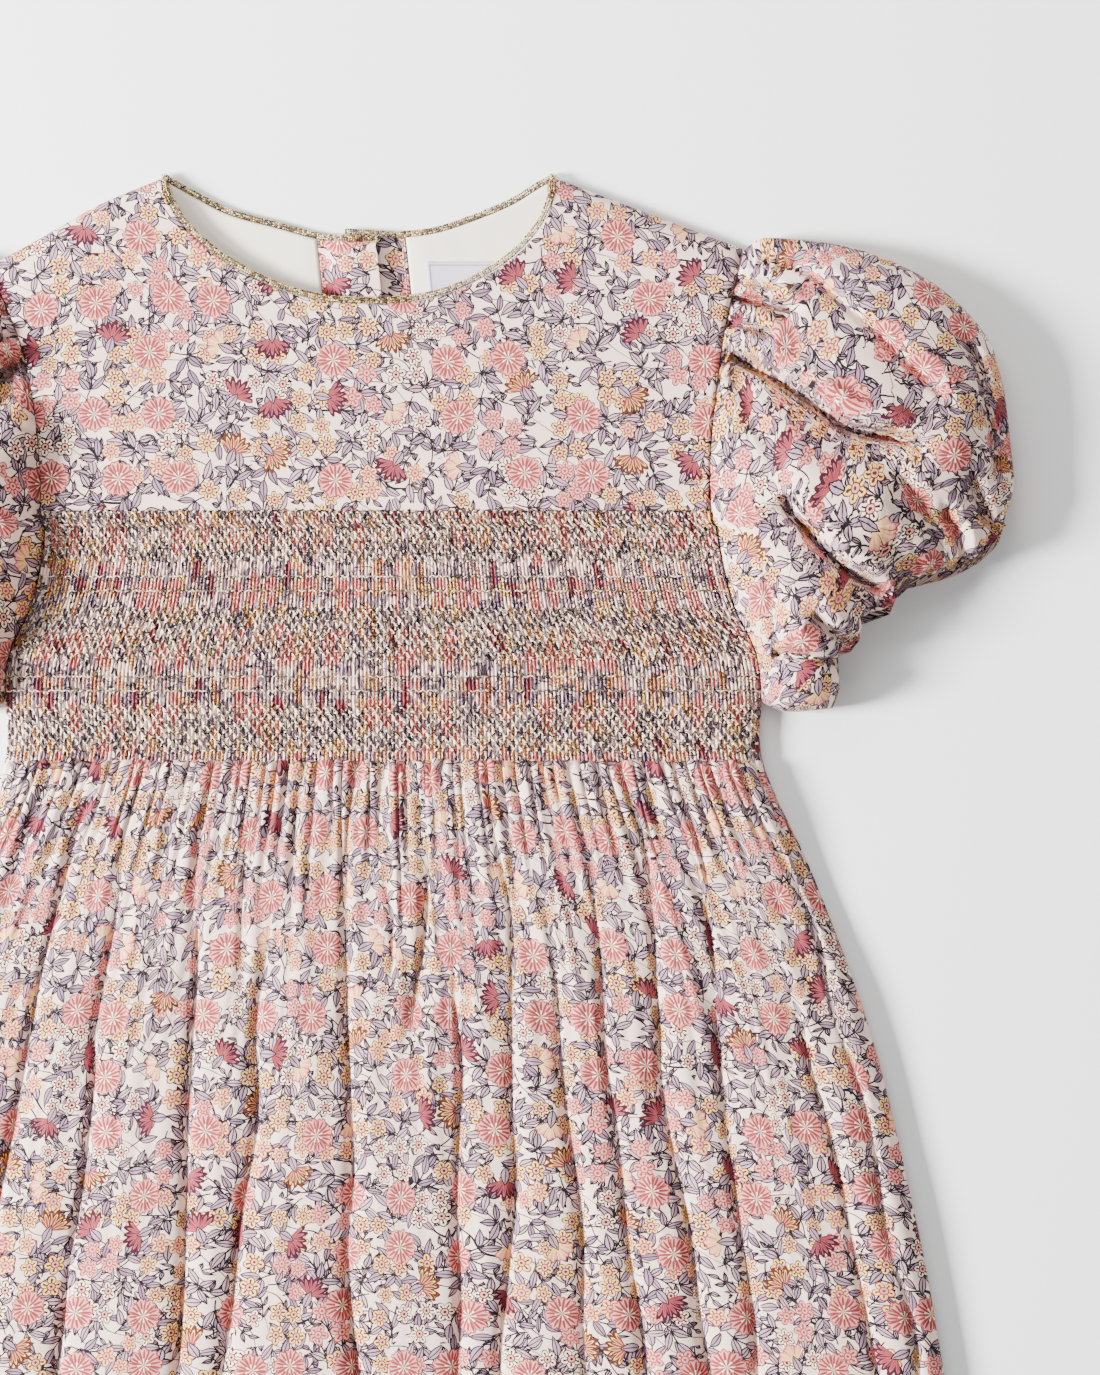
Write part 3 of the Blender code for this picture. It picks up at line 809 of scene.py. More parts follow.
@dataclass
class DressShape:
    """Sizes and outline that all pieces share, as the solids have them."""

    cloth: float = 1.0
    seam_rise: float = 1.3
    crown: float = 6.2
    side_roll: float = 16.0
    top_y: float = 315.0
    hem_y: float = -317.0
    yoke_seam_y: float = 186.5
    waist_y: float = 92.0
    underarm_y: float = 113.9
    shoulder_tip: tuple[float, float] = (145.6, 288.0)
    neck_half: float = 76.7
    droop: float = 6.0
    droop_starts: tuple[float, float] = (-95.0, 205.0)
    droop_runs: tuple[float, float] = (50.0, 60.0)
    lean_rows: tuple = ((-317.0, 2.7), (133.0, 2.7), (185.0, 0.0), (255.0, -1.2), (315.0, -6.8))
    outline_rows: tuple = (
        (-317.0, 242.0), (-147.0, 216.9), (-76.0, 203.4), (-14.0, 188.0), (44.0, 166.8),
        (88.0, 147.2), (114.0, 146.1), (132.0, 143.6), (152.0, 134.5), (179.0, 129.3),
        (210.0, 129.4), (252.0, 134.7), (288.0, 145.6),
    )
    front_neck: tuple = (
        (0.0, 266.0), (15.0, 266.8), (30.0, 270.0), (44.0, 276.0), (57.5, 284.5),
        (69.0, 296.0), (75.0, 307.5), (76.7, 315.0),
    )
    back_neck_left: tuple = (
        (-7.1, 293.2), (12.0, 292.2), (28.0, 294.0), (44.4, 299.2), (58.7, 305.0),
        (69.1, 311.0), (76.7, 315.0),
    )
    back_neck_right: tuple = (
        (-4.5, 289.9), (4.0, 290.3), (17.4, 291.5), (34.4, 296.1), (51.3, 300.9),
        (64.1, 307.6), (76.7, 315.0),
    )
    outline: np.ndarray = field(init=False)
    leaning: np.ndarray = field(init=False)

    def __post_init__(self) -> None:
        """Draws the smooth outline and centre line."""
        self.outline = curve_through(self.outline_rows, 240)
        self.leaning = curve_through(self.lean_rows, 160)

    def half_width(self, y: np.ndarray) -> np.ndarray:
        """Half width of the body at a height."""
        return np.interp(y, self.outline[:, 0], self.outline[:, 1])

    def place(self, points: np.ndarray) -> np.ndarray:
        """Brings points to the scene. The dress leans a little, and its right shoulder droops.

        Args:
            points: Points measured from the straight centre line, in millimetres.

        Returns:
            The same points in the scene, in metres.
        """
        moved = np.array(points, float)
        x, y = moved[..., 0].copy(), moved[..., 1].copy()
        moved[..., 0] += np.interp(y, self.leaning[:, 0], self.leaning[:, 1])
        aside = smooth_step((self.droop_starts[0] - x) / self.droop_runs[0])
        high = smooth_step((y - self.droop_starts[1]) / self.droop_runs[1])
        moved[..., 1] -= self.droop * aside * high
        return moved * MM

    def armhole_opening(self, y: np.ndarray) -> np.ndarray:
        """How far the armhole stands open: 0 at its two ends and 1 half way."""
        middle = (self.shoulder_tip[1] + self.underarm_y) / 2
        reach = (self.shoulder_tip[1] - self.underarm_y) / 2
        return np.clip(1.0 - ((y - middle) / reach) ** 2, 0.0, 1.0) ** 0.25

    def shoulder_distance(self, x: np.ndarray, y: np.ndarray) -> np.ndarray:
        """Distance from the shoulder seam.

        Args:
            x: Distance from the centre line.
            y: Height.

        Returns:
            The distance in millimetres.
        """
        start = np.array((self.neck_half, self.top_y))
        along = np.array(self.shoulder_tip) - start
        offset = np.stack([np.abs(x) - start[0], y - start[1]], -1)
        share = np.clip(offset @ along / (along @ along), 0.0, 1.0)
        return np.linalg.norm(offset - share[..., None] * along, axis=-1)

    def body_lift(self, x: np.ndarray, y: np.ndarray) -> np.ndarray:
        """Height of the front over the edge of the back.

        Args:
            x: Distance from the centre line.
            y: Height.

        Returns:
            The height in millimetres, which falls off round the sides and shoulders.
        """
        edge = self.armhole_opening(y)
        side = quarter_round((self.half_width(y) - np.abs(x)) / self.side_roll)
        shoulder = quarter_round(self.shoulder_distance(x, y) / self.side_roll)
        shoulder = np.where(y > self.yoke_seam_y, shoulder, 1.0)
        return self.crown * (edge + (1.0 - edge) * side) * shoulder


def cloth_mesh(
    name: str, points: np.ndarray, flat: np.ndarray, around: bool = False
) -> bpy.types.Object:
    """A sheet of quads with a map of its place on the flat cloth.

    Args:
        name: The piece's name.
        points: Scene points by row and column.
        flat: Place on the flat cloth, in metres, by row and column.
        around: Whether the last column meets the first.

    Returns:
        The new object.
    """
    rows, columns = points.shape[:2]
    index = np.arange(rows * columns).reshape(rows, columns)
    kept = index[:, :-1] if around else index
    low, high = index[:-1, :-1], index[1:, :-1]
    right_low, right_high = index[:-1, 1:], index[1:, 1:]
    quads = np.stack([low, right_low, right_high, high], -1).reshape(-1, 4)
    corner_flat = flat.reshape(-1, 2)[quads.reshape(-1)]
    if around:
        renumber = np.empty(rows * columns, int)
        renumber[kept.reshape(-1)] = np.arange(kept.size)
        renumber[index[:, -1]] = renumber[index[:, 0]]
        quads = renumber[quads]
        points = points[:, :-1]
    mesh = bpy.data.meshes.new(name)
    mesh.from_pydata(points.reshape(-1, 3).tolist(), [], quads.tolist())
    layer = mesh.uv_layers.new(name=CLOTH_MAP)
    layer.uv.foreach_set("vector", corner_flat.astype(np.float32).ravel())
    mesh.shade_smooth()
    return linked(name, mesh)


def add_wall(piece: bpy.types.Object, thickness: float = 0.8, offset: float = -1.0) -> None:
    """Gives a sheet its thickness.

    Args:
        piece: The sheet.
        thickness: In millimetres.
        offset: -1 to grow behind the sheet and 1 to grow in front of it.
    """
    wall = piece.modifiers.new("Wall", "SOLIDIFY")
    wall.thickness = thickness * MM
    wall.offset = offset
    wall.use_quality_normals = True


def arc_along(points: np.ndarray) -> np.ndarray:
    """Length of cloth along each row of points, measured from its middle column.

    Args:
        points: Points by row and column.

    Returns:
        The length at each point, in the unit of the points.
    """
    steps = np.linalg.norm(np.diff(points, axis=1), axis=2)
    along = np.concatenate([np.zeros((len(points), 1)), np.cumsum(steps, axis=1)], axis=1)
    middle = along.shape[1] // 2
    return along - along[:, middle : middle + 1]


@dataclass
class Sheet:
    flat: tuple[float, float]
    rests_on: tuple[str, ...]
    area: float | None = None


def hand_over(
    piece: bpy.types.Object,
    material: bpy.types.Material,
    nodes: Sequence[str] = (),
) -> None:
    """Dresses a piece, attaches it to the root and hides the solids that it stands for.

    Args:
        piece: The finished piece.
        material: Its finish.
        nodes: Solids that it stands for.
    """
    piece.data.materials.clear()
    piece.data.materials.append(material)
    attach(piece, "root")
    if nodes:
        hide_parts(*nodes)
    log.info("built %s", piece.name)


@dataclass
class Yoke:
    """Front bodice above the smocking."""

    shape: DressShape
    neck_columns: int = 60
    shoulder_columns: int = 26
    rows: int = 70
    pucker: float = 0.45
    pucker_reach: float = 16.0
    pucker_pitch: float = 8.5
    pucker_from_y: float = 225.0

    def top_edge(self) -> np.ndarray:
        """Half of the top edge: along the neck, then along the shoulder seam."""
        neck = curve_through(self.shape.front_neck, self.neck_columns + 1)
        start = (self.shape.neck_half, self.shape.top_y)
        shoulder = np.linspace(start, self.shape.shoulder_tip, self.shoulder_columns + 1)
        return np.vstack([neck, shoulder[1:]])

    def build(self, finishes: Finishes) -> None:
        """Builds the yoke and hands it over.

        Args:
            finishes: The dress's finishes.
        """
        shape = self.shape
        top = self.top_edge()
        half = len(top) - 1
        side = np.arange(-half, half + 1)
        x_top, y_top = top[np.abs(side)].T
        share = np.linspace(0.0, 1.0, self.rows + 1)[:, None]
        y = shape.yoke_seam_y + (y_top - shape.yoke_seam_y) * share
        low = np.abs(side) / half
        high = x_top / shape.half_width(y_top)
        reach = shape.half_width(y)
        x = np.sign(side) * reach * (low + (high - low) * share)
        near = np.clip(1.0 - (reach - np.abs(x)) / self.pucker_reach, 0.0, 1.0)
        open_here = shape.armhole_opening(y) * (y > self.pucker_from_y)
        pucker = self.pucker * near**2 * open_here * ripples(y / self.pucker_pitch, 5)
        drift = 0.25 * ripples(x / 60 + y / 90, 11) + 0.2 * ripples(y / 45 - x / 130, 12)
        z = shape.seam_rise + shape.cloth + shape.body_lift(x, y) + pucker + drift
        points = shape.place(np.stack([x, y, z], -1))
        flat = np.stack([x * MM, y * MM], -1)
        piece = cloth_mesh("cloth_yoke_front", points, flat)
        add_wall(piece)
        hand_over(piece, finishes.print_cotton, ["yoke_front"])


@dataclass(frozen=True)
class Stitch:
    """A stitch over pleats: its two ends, in pleats along the row and millimetres up."""

    first_along: float
    first_up: float
    last_along: float
    last_up: float

    def on(self, pleat: int, y: float, y_last: float) -> tuple[float, float, float, float]:
        """Its ends from a pleat on, starting near one height and ending near another."""
        first = (pleat + self.first_along, y + self.first_up)
        return (*first, pleat + self.last_along, y_last + self.last_up)


@dataclass
class SmockedBand:
    """Fine pleats held by rows of metallic stitches."""

    shape: DressShape
    pleats: int = 196
    columns_a_pleat: int = 5
    rows: int = 84
    pleat_height: float = 1.6
    skirt_overlap: float = 5.0
    overlap_sink: float = 1.3
    pinch: float = 0.27
    cloth_a_pleat: float = 4.3
    hidden: float = 0.62
    trellis_zones: tuple = ((186.0, 165.5), (150.0, 128.0), (112.2, 92.4))
    zone_fade: float = 1.5
    trellis_pitch: float = 2.35
    trellis_hold: float = 0.35
    cable_rows: tuple = (161.0, 155.5, 122.5, 117.0)
    over_pair: tuple[Stitch, ...] = (Stitch(0.35, 0.25, 1.65, 0.4), Stitch(0.3, -0.25, 1.5, -0.35))
    step_down: Stitch = Stitch(1.4, -0.3, 2.5, 0.3)
    cable: tuple[Stitch, ...] = (Stitch(0.4, 0.3, 1.5, -0.3), Stitch(0.4, -0.3, 1.5, 0.3))
    ridge_power: float = 0.75
    swell: float = 0.25
    thread_radius: float = 0.29
    thread_stray: float = 0.12
    thread_seed: int = 17

    def zone_at(self, y: np.ndarray) -> np.ndarray:
        """How much the trellis holds the pleats.

        Args:
            y: Height.

        Returns:
            From 0, free, to 1, held.
        """
        held = np.zeros_like(y)
        for high, low in self.trellis_zones:
            under = smooth_step((high + self.zone_fade - y) / self.zone_fade)
            over = smooth_step((y - low + self.zone_fade) / self.zone_fade)
            held = np.maximum(held, under * over)
        return held

    def steps_down(self, y: np.ndarray | float) -> np.ndarray | float:
        """Distance below the first trellis row, in rows."""
        return (self.trellis_zones[0][0] - y) / self.trellis_pitch

    def pleat_shift(self, pleat: np.ndarray, y: np.ndarray) -> np.ndarray:
        """Sideways shift of a pleat, as a share of the pitch: pairs meet at stitched rows."""
        parity = np.where(pleat % 2 < 1, 1.0, -1.0)
        return self.pinch * parity * np.cos(math.pi * self.steps_down(y)) * self.zone_at(y)

    def surface(self, across: np.ndarray, y: np.ndarray) -> np.ndarray:
        """Outer points of the band.

        Args:
            across: Place in pleats, from 0 to the number of pleats.
            y: Height.

        Returns:
            Points from the straight centre line.
        """
        shape = self.shape
        pleat = np.floor(across)
        within = across - pleat
        ridge = np.abs(np.sin(math.pi * within)) ** self.ridge_power
        shift = self.pleat_shift(pleat, y) * ridge
        share = 2.0 * (across + shift) / self.pleats - 1.0
        x = share * shape.half_width(y)
        uneven = 1.0 + 0.12 * ripples(pleat / 2.1, 31) + 0.08 * ripples(y / 6.0 + pleat * 0.7, 32)
        held = self.zone_at(y)
        puff = np.abs(np.sin(math.pi * self.steps_down(y)))
        height = self.pleat_height * uneven * (1.0 - held * self.trellis_hold * (1.0 - puff))
        swell = self.swell * ripples(across / 24.0, 33) + 0.15 * ripples(y / 11.0, 34)
        lift = shape.body_lift(x, y)
        z = shape.seam_rise + shape.cloth * 0.6 + lift + height * ridge + swell
        z = z - self.overlap_sink * smooth_step((shape.waist_y - y) / self.skirt_overlap)
        return np.stack([x, y, z], -1)

    def build(self, finishes: Finishes) -> None:
        """Builds the pleated cloth and its stitches.

        Args:
            finishes: The dress's finishes.
        """
        shape = self.shape
        count = self.pleats * self.columns_a_pleat
        across = np.linspace(0.0, self.pleats, count + 1)
        across[-1] -= 1e-6
        heights = np.linspace(
            shape.yoke_seam_y - 0.3, shape.waist_y - self.skirt_overlap, self.rows + 1
        )
        grid_across, grid_y = np.meshgrid(across, heights[::-1])
        local = self.surface(grid_across, grid_y)
        turn = 2.0 * math.pi * (grid_across - np.floor(grid_across))
        shown = grid_across + self.hidden * np.sin(turn) / (2.0 * math.pi)
        flat = np.stack([shown * self.cloth_a_pleat * MM, grid_y * MM], -1)
        piece = cloth_mesh("cloth_smocked_front", shape.place(local), flat)
        hand_over(piece, finishes.print_cotton, ["smocked_front"])
        self.build_stitches(finishes)

    def stitch_rows(self) -> list[tuple[float, int]]:
        """The trellis rows.

        Returns:
            Height of each row, and 0 or 1 for the pleats that it starts on.
        """
        found = []
        for high, low in self.trellis_zones:
            first = math.ceil(self.steps_down(high) - 1e-6)
            last = int(self.steps_down(low))
            for step in range(first, last + 1):
                found.append((self.trellis_zones[0][0] - step * self.trellis_pitch, step % 2))
        return found

    def build_stitches(self, finishes: Finishes) -> None:
        """Lays a short stitch over each pinched pair, one down to the next row, and cables.

        Args:
            finishes: The dress's finishes.
        """
        ends: list[tuple[float, float, float, float]] = []
        rows = self.stitch_rows()
        for y, parity in rows:
            for pleat in range(parity, self.pleats - 1, 2):
                ends.extend(stitch.on(pleat, y, y) for stitch in self.over_pair)
        for (y, parity), (y_next, _) in zip(rows, rows[1:]):
            if y - y_next > self.trellis_pitch * 1.5:
                continue
            for pleat in range(parity, self.pleats - 2, 2):
                ends.append(self.step_down.on(pleat, y, y_next))
        for y in self.cable_rows:
            for pleat in range(self.pleats - 1):
                ends.append(self.cable[pleat % 2].on(pleat, y, y))
        table = np.array(ends)
        start = self.surface(table[:, 0], table[:, 1])
        end = self.surface(table[:, 2], table[:, 3])
        draw = np.random.default_rng(self.thread_seed)
        for spots in (start, end):
            spots[:, 2] += self.thread_radius
            spots += draw.normal(0.0, self.thread_stray, spots.shape) * (1, 1, 0.4)
        piece = StitchField("smocking_stitches", self.thread_radius, finishes.stitches).build(
            self.shape.place(start), self.shape.place(end)
        )
        hand_over(piece, finishes.stitches)


@dataclass
class StitchField:
    """Many short stitches, made by one geometry node tree from a cloud of points."""

    name: str
    radius: float
    material: bpy.types.Material
    segments: int = 5
    rings: int = 3
    half_length: float = 0.56
    seed: int = 7

    def tree(self) -> tuple[bpy.types.NodeTree, dict[str, str]]:
        """The node tree, and the identifier of each named input."""
        tree = bpy.data.node_groups.new(self.name, "GeometryNodeTree")
        face = tree.interface
        face.new_socket("Points", in_out="INPUT", socket_type="NodeSocketGeometry")
        radius = face.new_socket("Thread radius", in_out="INPUT", socket_type="NodeSocketFloat")
        seed = face.new_socket("Seed", in_out="INPUT", socket_type="NodeSocketInt")
        finish = face.new_socket("Thread", in_out="INPUT", socket_type="NodeSocketMaterial")
        face.new_socket("Stitches", in_out="OUTPUT", socket_type="NodeSocketGeometry")

        def node(kind: str, **settings: object) -> bpy.types.Node:
            """A new node with these settings."""
            made = tree.nodes.new(kind)
            for key, value in settings.items():
                setattr(made, key, value)
            return made

        source = node("NodeGroupInput")
        sphere = node("GeometryNodeMeshUVSphere")
        sphere.inputs["Segments"].default_value = self.segments
        sphere.inputs["Rings"].default_value = self.rings
        sphere.inputs["Radius"].default_value = 1.0
        along = node("GeometryNodeInputNamedAttribute", data_type="FLOAT_VECTOR")
        along.inputs["Name"].default_value = "along"
        length = node("ShaderNodeVectorMath", operation="LENGTH")
        turn = node("FunctionNodeAlignRotationToVector", axis="Z")
        size = node("ShaderNodeCombineXYZ")
        half = node("ShaderNodeMath", operation="MULTIPLY")
        half.inputs[1].default_value = self.half_length
        tone = node("FunctionNodeRandomValue", data_type="FLOAT")
        onto = node("GeometryNodeInstanceOnPoints")
        store = node("GeometryNodeStoreNamedAttribute", data_type="FLOAT", domain="INSTANCE")
        store.inputs["Name"].default_value = "tone"
        real = node("GeometryNodeRealizeInstances")
        smooth = node("GeometryNodeSetShadeSmooth")
        paint = node("GeometryNodeSetMaterial")
        sink = node("NodeGroupOutput")
        for giver, out, taker, into in (
            (along, 0, length, 0),
            (along, 0, turn, "Vector"),
            (length, "Value", half, 0),
            (source, "Thread radius", size, 0),
            (source, "Thread radius", size, 1),
            (half, 0, size, 2),
            (source, "Points", onto, "Points"),
            (sphere, "Mesh", onto, "Instance"),
            (turn, 0, onto, "Rotation"),
            (size, 0, onto, "Scale"),
            (source, "Seed", tone, "Seed"),
            (onto, 0, store, "Geometry"),
            (tone, 1, store, "Value"),
            (store, 0, real, 0),
            (real, 0, smooth, 0),
            (smooth, 0, paint, "Geometry"),
            (source, "Thread", paint, "Material"),
            (paint, 0, sink, 0),
        ):
            tree.links.new(giver.outputs[out], taker.inputs[into])
        return tree, {
            "radius": radius.identifier, "seed": seed.identifier, "thread": finish.identifier,
        }

    def build(self, start: np.ndarray, end: np.ndarray) -> bpy.types.Object:
        """Makes the stitches.

        Args:
            start: Where each stitch starts, in metres.
            end: Where each one ends.

        Returns:
            One plain mesh of all of them.
        """
        cloud = bpy.data.meshes.new(self.name + "_points")
        cloud.from_pydata(((start + end) / 2).tolist(), [], [])
        along = cloud.attributes.new("along", "FLOAT_VECTOR", "POINT")
        along.data.foreach_set("vector", (end - start).astype(np.float32).ravel())
        holder = linked(self.name + "_points", cloud)
        tree, keys = self.tree()
        modifier = holder.modifiers.new("Stitches", "NODES")
        modifier.node_group = tree
        modifier[keys["radius"]] = self.radius * MM
        modifier[keys["seed"]] = self.seed
        modifier[keys["thread"]] = self.material
        graph = bpy.context.evaluated_depsgraph_get()
        mesh = bpy.data.meshes.new_from_object(holder.evaluated_get(graph))
        mesh.name = self.name
        piece = linked(self.name, mesh)
        bpy.data.objects.remove(holder)
        bpy.data.node_groups.remove(tree)
        return piece


@dataclass(frozen=True)
class Trough:
    """A soft valley between two folds of the skirt.

    Places are shares of the half width, at the waist, in the middle and at the hem.
    """

    at_waist: float
    at_middle: float
    at_hem: float
    depth: float
    first_y: float
    last_y: float
    width: float


@dataclass
class Skirt:
    """Front and back skirt, gathered under the smocking."""

    shape: DressShape
    columns: int = 360
    rows: int = 114
    base: float = 2.6
    middle_y: float = -30.0
    fold_rows: tuple = ((92.0, 0.8), (60.0, 3.0), (0.0, 6.5), (-120.0, 8.0), (-317.0, 9.0))
    troughs: tuple[Trough, ...] = (
        Trough(-0.96, -0.93, -0.93, 0.7, 80.0, -350.0, 8.0),
        Trough(-0.86, -0.85, -0.86, 0.7, 40.0, -350.0, 7.0),
        Trough(-0.75, -0.72, -0.735, 0.9, 80.0, -350.0, 6.5),
        Trough(-0.61, -0.58, -0.57, 0.8, 60.0, -350.0, 7.0),
        Trough(-0.45, -0.38, -0.36, 1.0, 70.0, -350.0, 5.5),
        Trough(-0.33, -0.30, -0.30, 0.5, 70.0, -20.0, 5.0),
        Trough(-0.26, -0.25, -0.30, 0.9, 40.0, -350.0, 6.0),
        Trough(-0.10, -0.07, -0.04, 1.0, 85.0, -350.0, 5.0),
        Trough(0.03, 0.01, 0.00, 0.5, 50.0, -10.0, 5.0),
        Trough(0.14, 0.05, 0.04, 0.9, 75.0, -30.0, 5.0),
        Trough(0.15, 0.15, 0.12, 0.8, 20.0, -350.0, 6.5),
        Trough(0.31, 0.26, 0.19, 0.8, 70.0, -350.0, 6.0),
        Trough(0.36, 0.365, 0.36, 0.8, 30.0, -350.0, 6.5),
        Trough(0.49, 0.45, 0.47, 0.8, 60.0, -350.0, 6.0),
        Trough(0.65, 0.555, 0.59, 1.0, 90.0, -350.0, 5.5),
        Trough(0.78, 0.67, 0.66, 0.8, 80.0, -350.0, 6.5),
        Trough(0.86, 0.86, 0.89, 0.7, 10.0, -350.0, 7.0),
        Trough(0.96, 0.94, 0.95, 0.7, 80.0, -350.0, 8.0),
    )
    gathers: int = 58
    gather_height: float = 3.9
    gather_hidden: float = 0.42
    gather_pull: float = 0.5
    fine_count: float = 26.0
    fine_height: float = 2.0
    fine_fade_y: float = -170.0
    fine_fade: float = 230.0
    fine_left: float = 0.18
    gather_end: float = 24.0
    gather_end_stray: float = 46.0
    trough_fade: float = 35.0
    sway: float = 2.4
    sway_from_y: float = 60.0
    crevice: float = 1.3
    crevice_share: float = 0.6
    pull: float = 0.62
    pull_reach: float = 5.5
    tucked_lift: float = 4.2
    tuck_reach: float = 5.5
    tuck_at_valley: float = 1.3
    tuck_less_at_ridge: float = 0.9
    crumple: float = 0.35
    rounded_from_y: float = 40.0
    row_crowding: float = 1.35
    overlap: float = 0.3
    print_half: float = 236.0
    back_rows: int = 70
    back_columns: int = 140

    def trough_place(self, trough: Trough, y: np.ndarray) -> np.ndarray:
        """Where a trough runs.

        Args:
            trough: The trough.
            y: Height.

        Returns:
            Its place as a share of the half width.
        """
        up = np.clip((y - self.middle_y) / (self.shape.waist_y - self.middle_y), 0.0, 1.0)
        down = np.clip((self.middle_y - y) / (self.middle_y - self.shape.hem_y) * 1.6, 0.0, 1.0)
        over = trough.at_middle + (trough.at_waist - trough.at_middle) * up
        return over + (trough.at_hem - trough.at_middle) * down

    def folds(self, share: np.ndarray, y: np.ndarray) -> tuple[np.ndarray, np.ndarray]:
        """The large folds, between narrow troughs that draw the cloth in.

        Args:
            share: Place across, as a share of the half width.
            y: Height.

        Returns:
            Place across in millimetres, and the height over the lowest line of the troughs.
        """
        heights = np.array(sorted(self.fold_rows))
        full = np.interp(y, heights[:, 0], heights[:, 1])
        evenly = share * self.shape.half_width(y)
        middles, fades = [], []
        for number, trough in enumerate(self.troughs):
            below = smooth_step((trough.first_y - y) / self.trough_fade)
            above = smooth_step((y - trough.last_y) / self.trough_fade)
            free = smooth_step((self.sway_from_y - y) / self.sway_from_y)
            sway = self.sway * ripples(y / 120.0, 200 + number) * free
            middles.append(self.trough_place(trough, y) * self.shape.half_width(y) + sway)
            fades.append(below * above)
        x = evenly.copy()
        for middle, fade in zip(middles, fades):
            away = evenly - middle
            x -= self.pull * fade * away * np.exp(-((away / self.pull_reach) ** 2))
        cut = np.zeros_like(x)
        for number, (trough, middle, fade) in enumerate(zip(self.troughs, middles, fades)):
            width = trough.width * (1.0 + 0.3 * ripples(y / 90.0, 300 + number))
            deep = np.clip(0.62 + 0.6 * ripples(y / 75.0, 400 + number), 0.1, 1.0)
            narrow = np.exp(-np.abs((x - middle) / self.crevice) ** 1.6)
            broad = np.exp(-np.abs((x - middle) / width) ** 1.4)
            sunk = self.crevice_share * deep * narrow + (1.0 - self.crevice_share) * broad
            cut = np.maximum(cut, trough.depth * fade * sunk)
        return x, full * (1.0 - cut)

    def fine_folds(self, share: np.ndarray, y: np.ndarray) -> np.ndarray:
        """The small folds that the gathers run out into.

        Args:
            share: Place across, as a share of the half width.
            y: Height.

        Returns:
            How high they stand.
        """
        stray = 0.8 * ripples(share * 5.0, 44) + 0.35 * ripples(y / 140.0, 45)
        ridge = np.abs(np.sin(math.pi * (share * self.fine_count + stray))) ** 0.5
        strength = 0.55 + 0.45 * ripples(share * 11.0 + y / 170.0, 46)
        fade = smooth_step((y - self.fine_fade_y) / self.fine_fade)
        fade = fade * (1.0 - self.fine_left) + self.fine_left
        return self.fine_height * ridge * strength * fade

    def gathered(
        self, share: np.ndarray, y: np.ndarray
    ) -> tuple[np.ndarray, np.ndarray, np.ndarray]:
        """The fine gathers under the smocking, each with its own length.

        Args:
            share: Place across, as a share of the half width.
            y: Height.

        Returns:
            Their height, and the sideways shifts of the print and of the cloth, as shares of the
            half width, as cloth hides between them.
        """
        stray = share * self.gathers / 2 + 0.55 * ripples(share * 9.0, 41)
        ridge = np.abs(np.sin(math.pi * stray)) ** 0.6
        end = self.gather_end + self.gather_end_stray * ripples(share * 17.0, 42)
        fade = smooth_step((y - end) / (self.shape.waist_y - end))
        strength = 0.75 + 0.35 * ripples(share * 23.0, 43)
        height = self.gather_height * ridge * fade * strength
        turn = fade * np.sin(2.0 * math.pi * stray) / (math.pi * self.gathers)
        return height, self.gather_hidden * turn, -self.gather_pull * turn

    def build_front(self, finishes: Finishes) -> None:
        """Builds the front skirt.

        Args:
            finishes: The dress's finishes.
        """
        shape = self.shape
        rise = np.linspace(0.0, 1.0, self.rows + 1) ** self.row_crowding
        top = shape.waist_y + self.overlap
        heights = top - rise * (top - shape.hem_y)
        share, y = np.meshgrid(np.linspace(-1.0, 1.0, self.columns + 1), heights[::-1])
        gathers, hidden, drawn_in = self.gathered(share, y)
        x, folds = self.folds(share + drawn_in, y)
        roll = quarter_round((shape.half_width(y) - np.abs(x)) / shape.side_roll)
        waist = smooth_step((y - self.rounded_from_y) / (shape.waist_y - self.rounded_from_y))
        base = self.base + (shape.crown - self.base) * waist
        crumple = self.crumple * ripples(x / 26.0 + y / 70.0, 51)
        crumple *= ripples(y / 38.0 - x / 90.0, 52)
        lift = base + folds + gathers + self.fine_folds(share, y) + crumple
        ridge = np.clip(gathers / self.gather_height, 0.0, 1.0)
        reach = self.tuck_reach * (self.tuck_at_valley - self.tuck_less_at_ridge * ridge)
        under = smooth_step((y - shape.waist_y + reach) / reach)
        lift += (self.tucked_lift - lift) * under
        z = shape.seam_rise + shape.cloth + roll * lift
        points = shape.place(np.stack([x, y, z], -1))
        flat = np.stack([(share + hidden) * self.print_half * MM, y * MM], -1)
        piece = cloth_mesh("cloth_skirt_front", points, flat)
        add_wall(piece)
        hand_over(piece, finishes.print_cotton, ["skirt_front"])

    def build(self, finishes: Finishes) -> None:
        """Builds the front and the back."""
        self.build_front(finishes)
        self.build_back(finishes)

    def build_back(self, finishes: Finishes) -> None:
        """Builds the back skirt, flat where it rests.

        Args:
            finishes: The dress's finishes.
        """
        shape = self.shape
        back = BackBodice(shape)
        heights = np.linspace(shape.hem_y, shape.waist_y - self.overlap, self.back_rows)
        share, y = np.meshgrid(np.linspace(-1.0, 1.0, self.back_columns + 1), heights)
        x = share * shape.half_width(y)
        tucks = np.zeros_like(x)
        for place, width in back.tucks:
            tucks = np.maximum(tucks, np.exp(-(((x - place * shape.half_width(y)) / width) ** 2)))
        flare = smooth_step((75.0 - y) / 60.0)
        under_lap = back.lap_raise * back.lap(x) * smooth_step((y - 50.0) / 35.0)
        z = back.tuck_height * tucks * flare + under_lap
        points = shape.place(np.stack([x, y, z], -1))
        flat = np.stack([arc_along(points) + 0.4, y * MM], -1)
        piece = cloth_mesh("cloth_skirt_back", points, flat)
        add_wall(piece, 0.9, offset=1.0)
        hand_over(piece, finishes.print_cotton, ["skirt_back"])


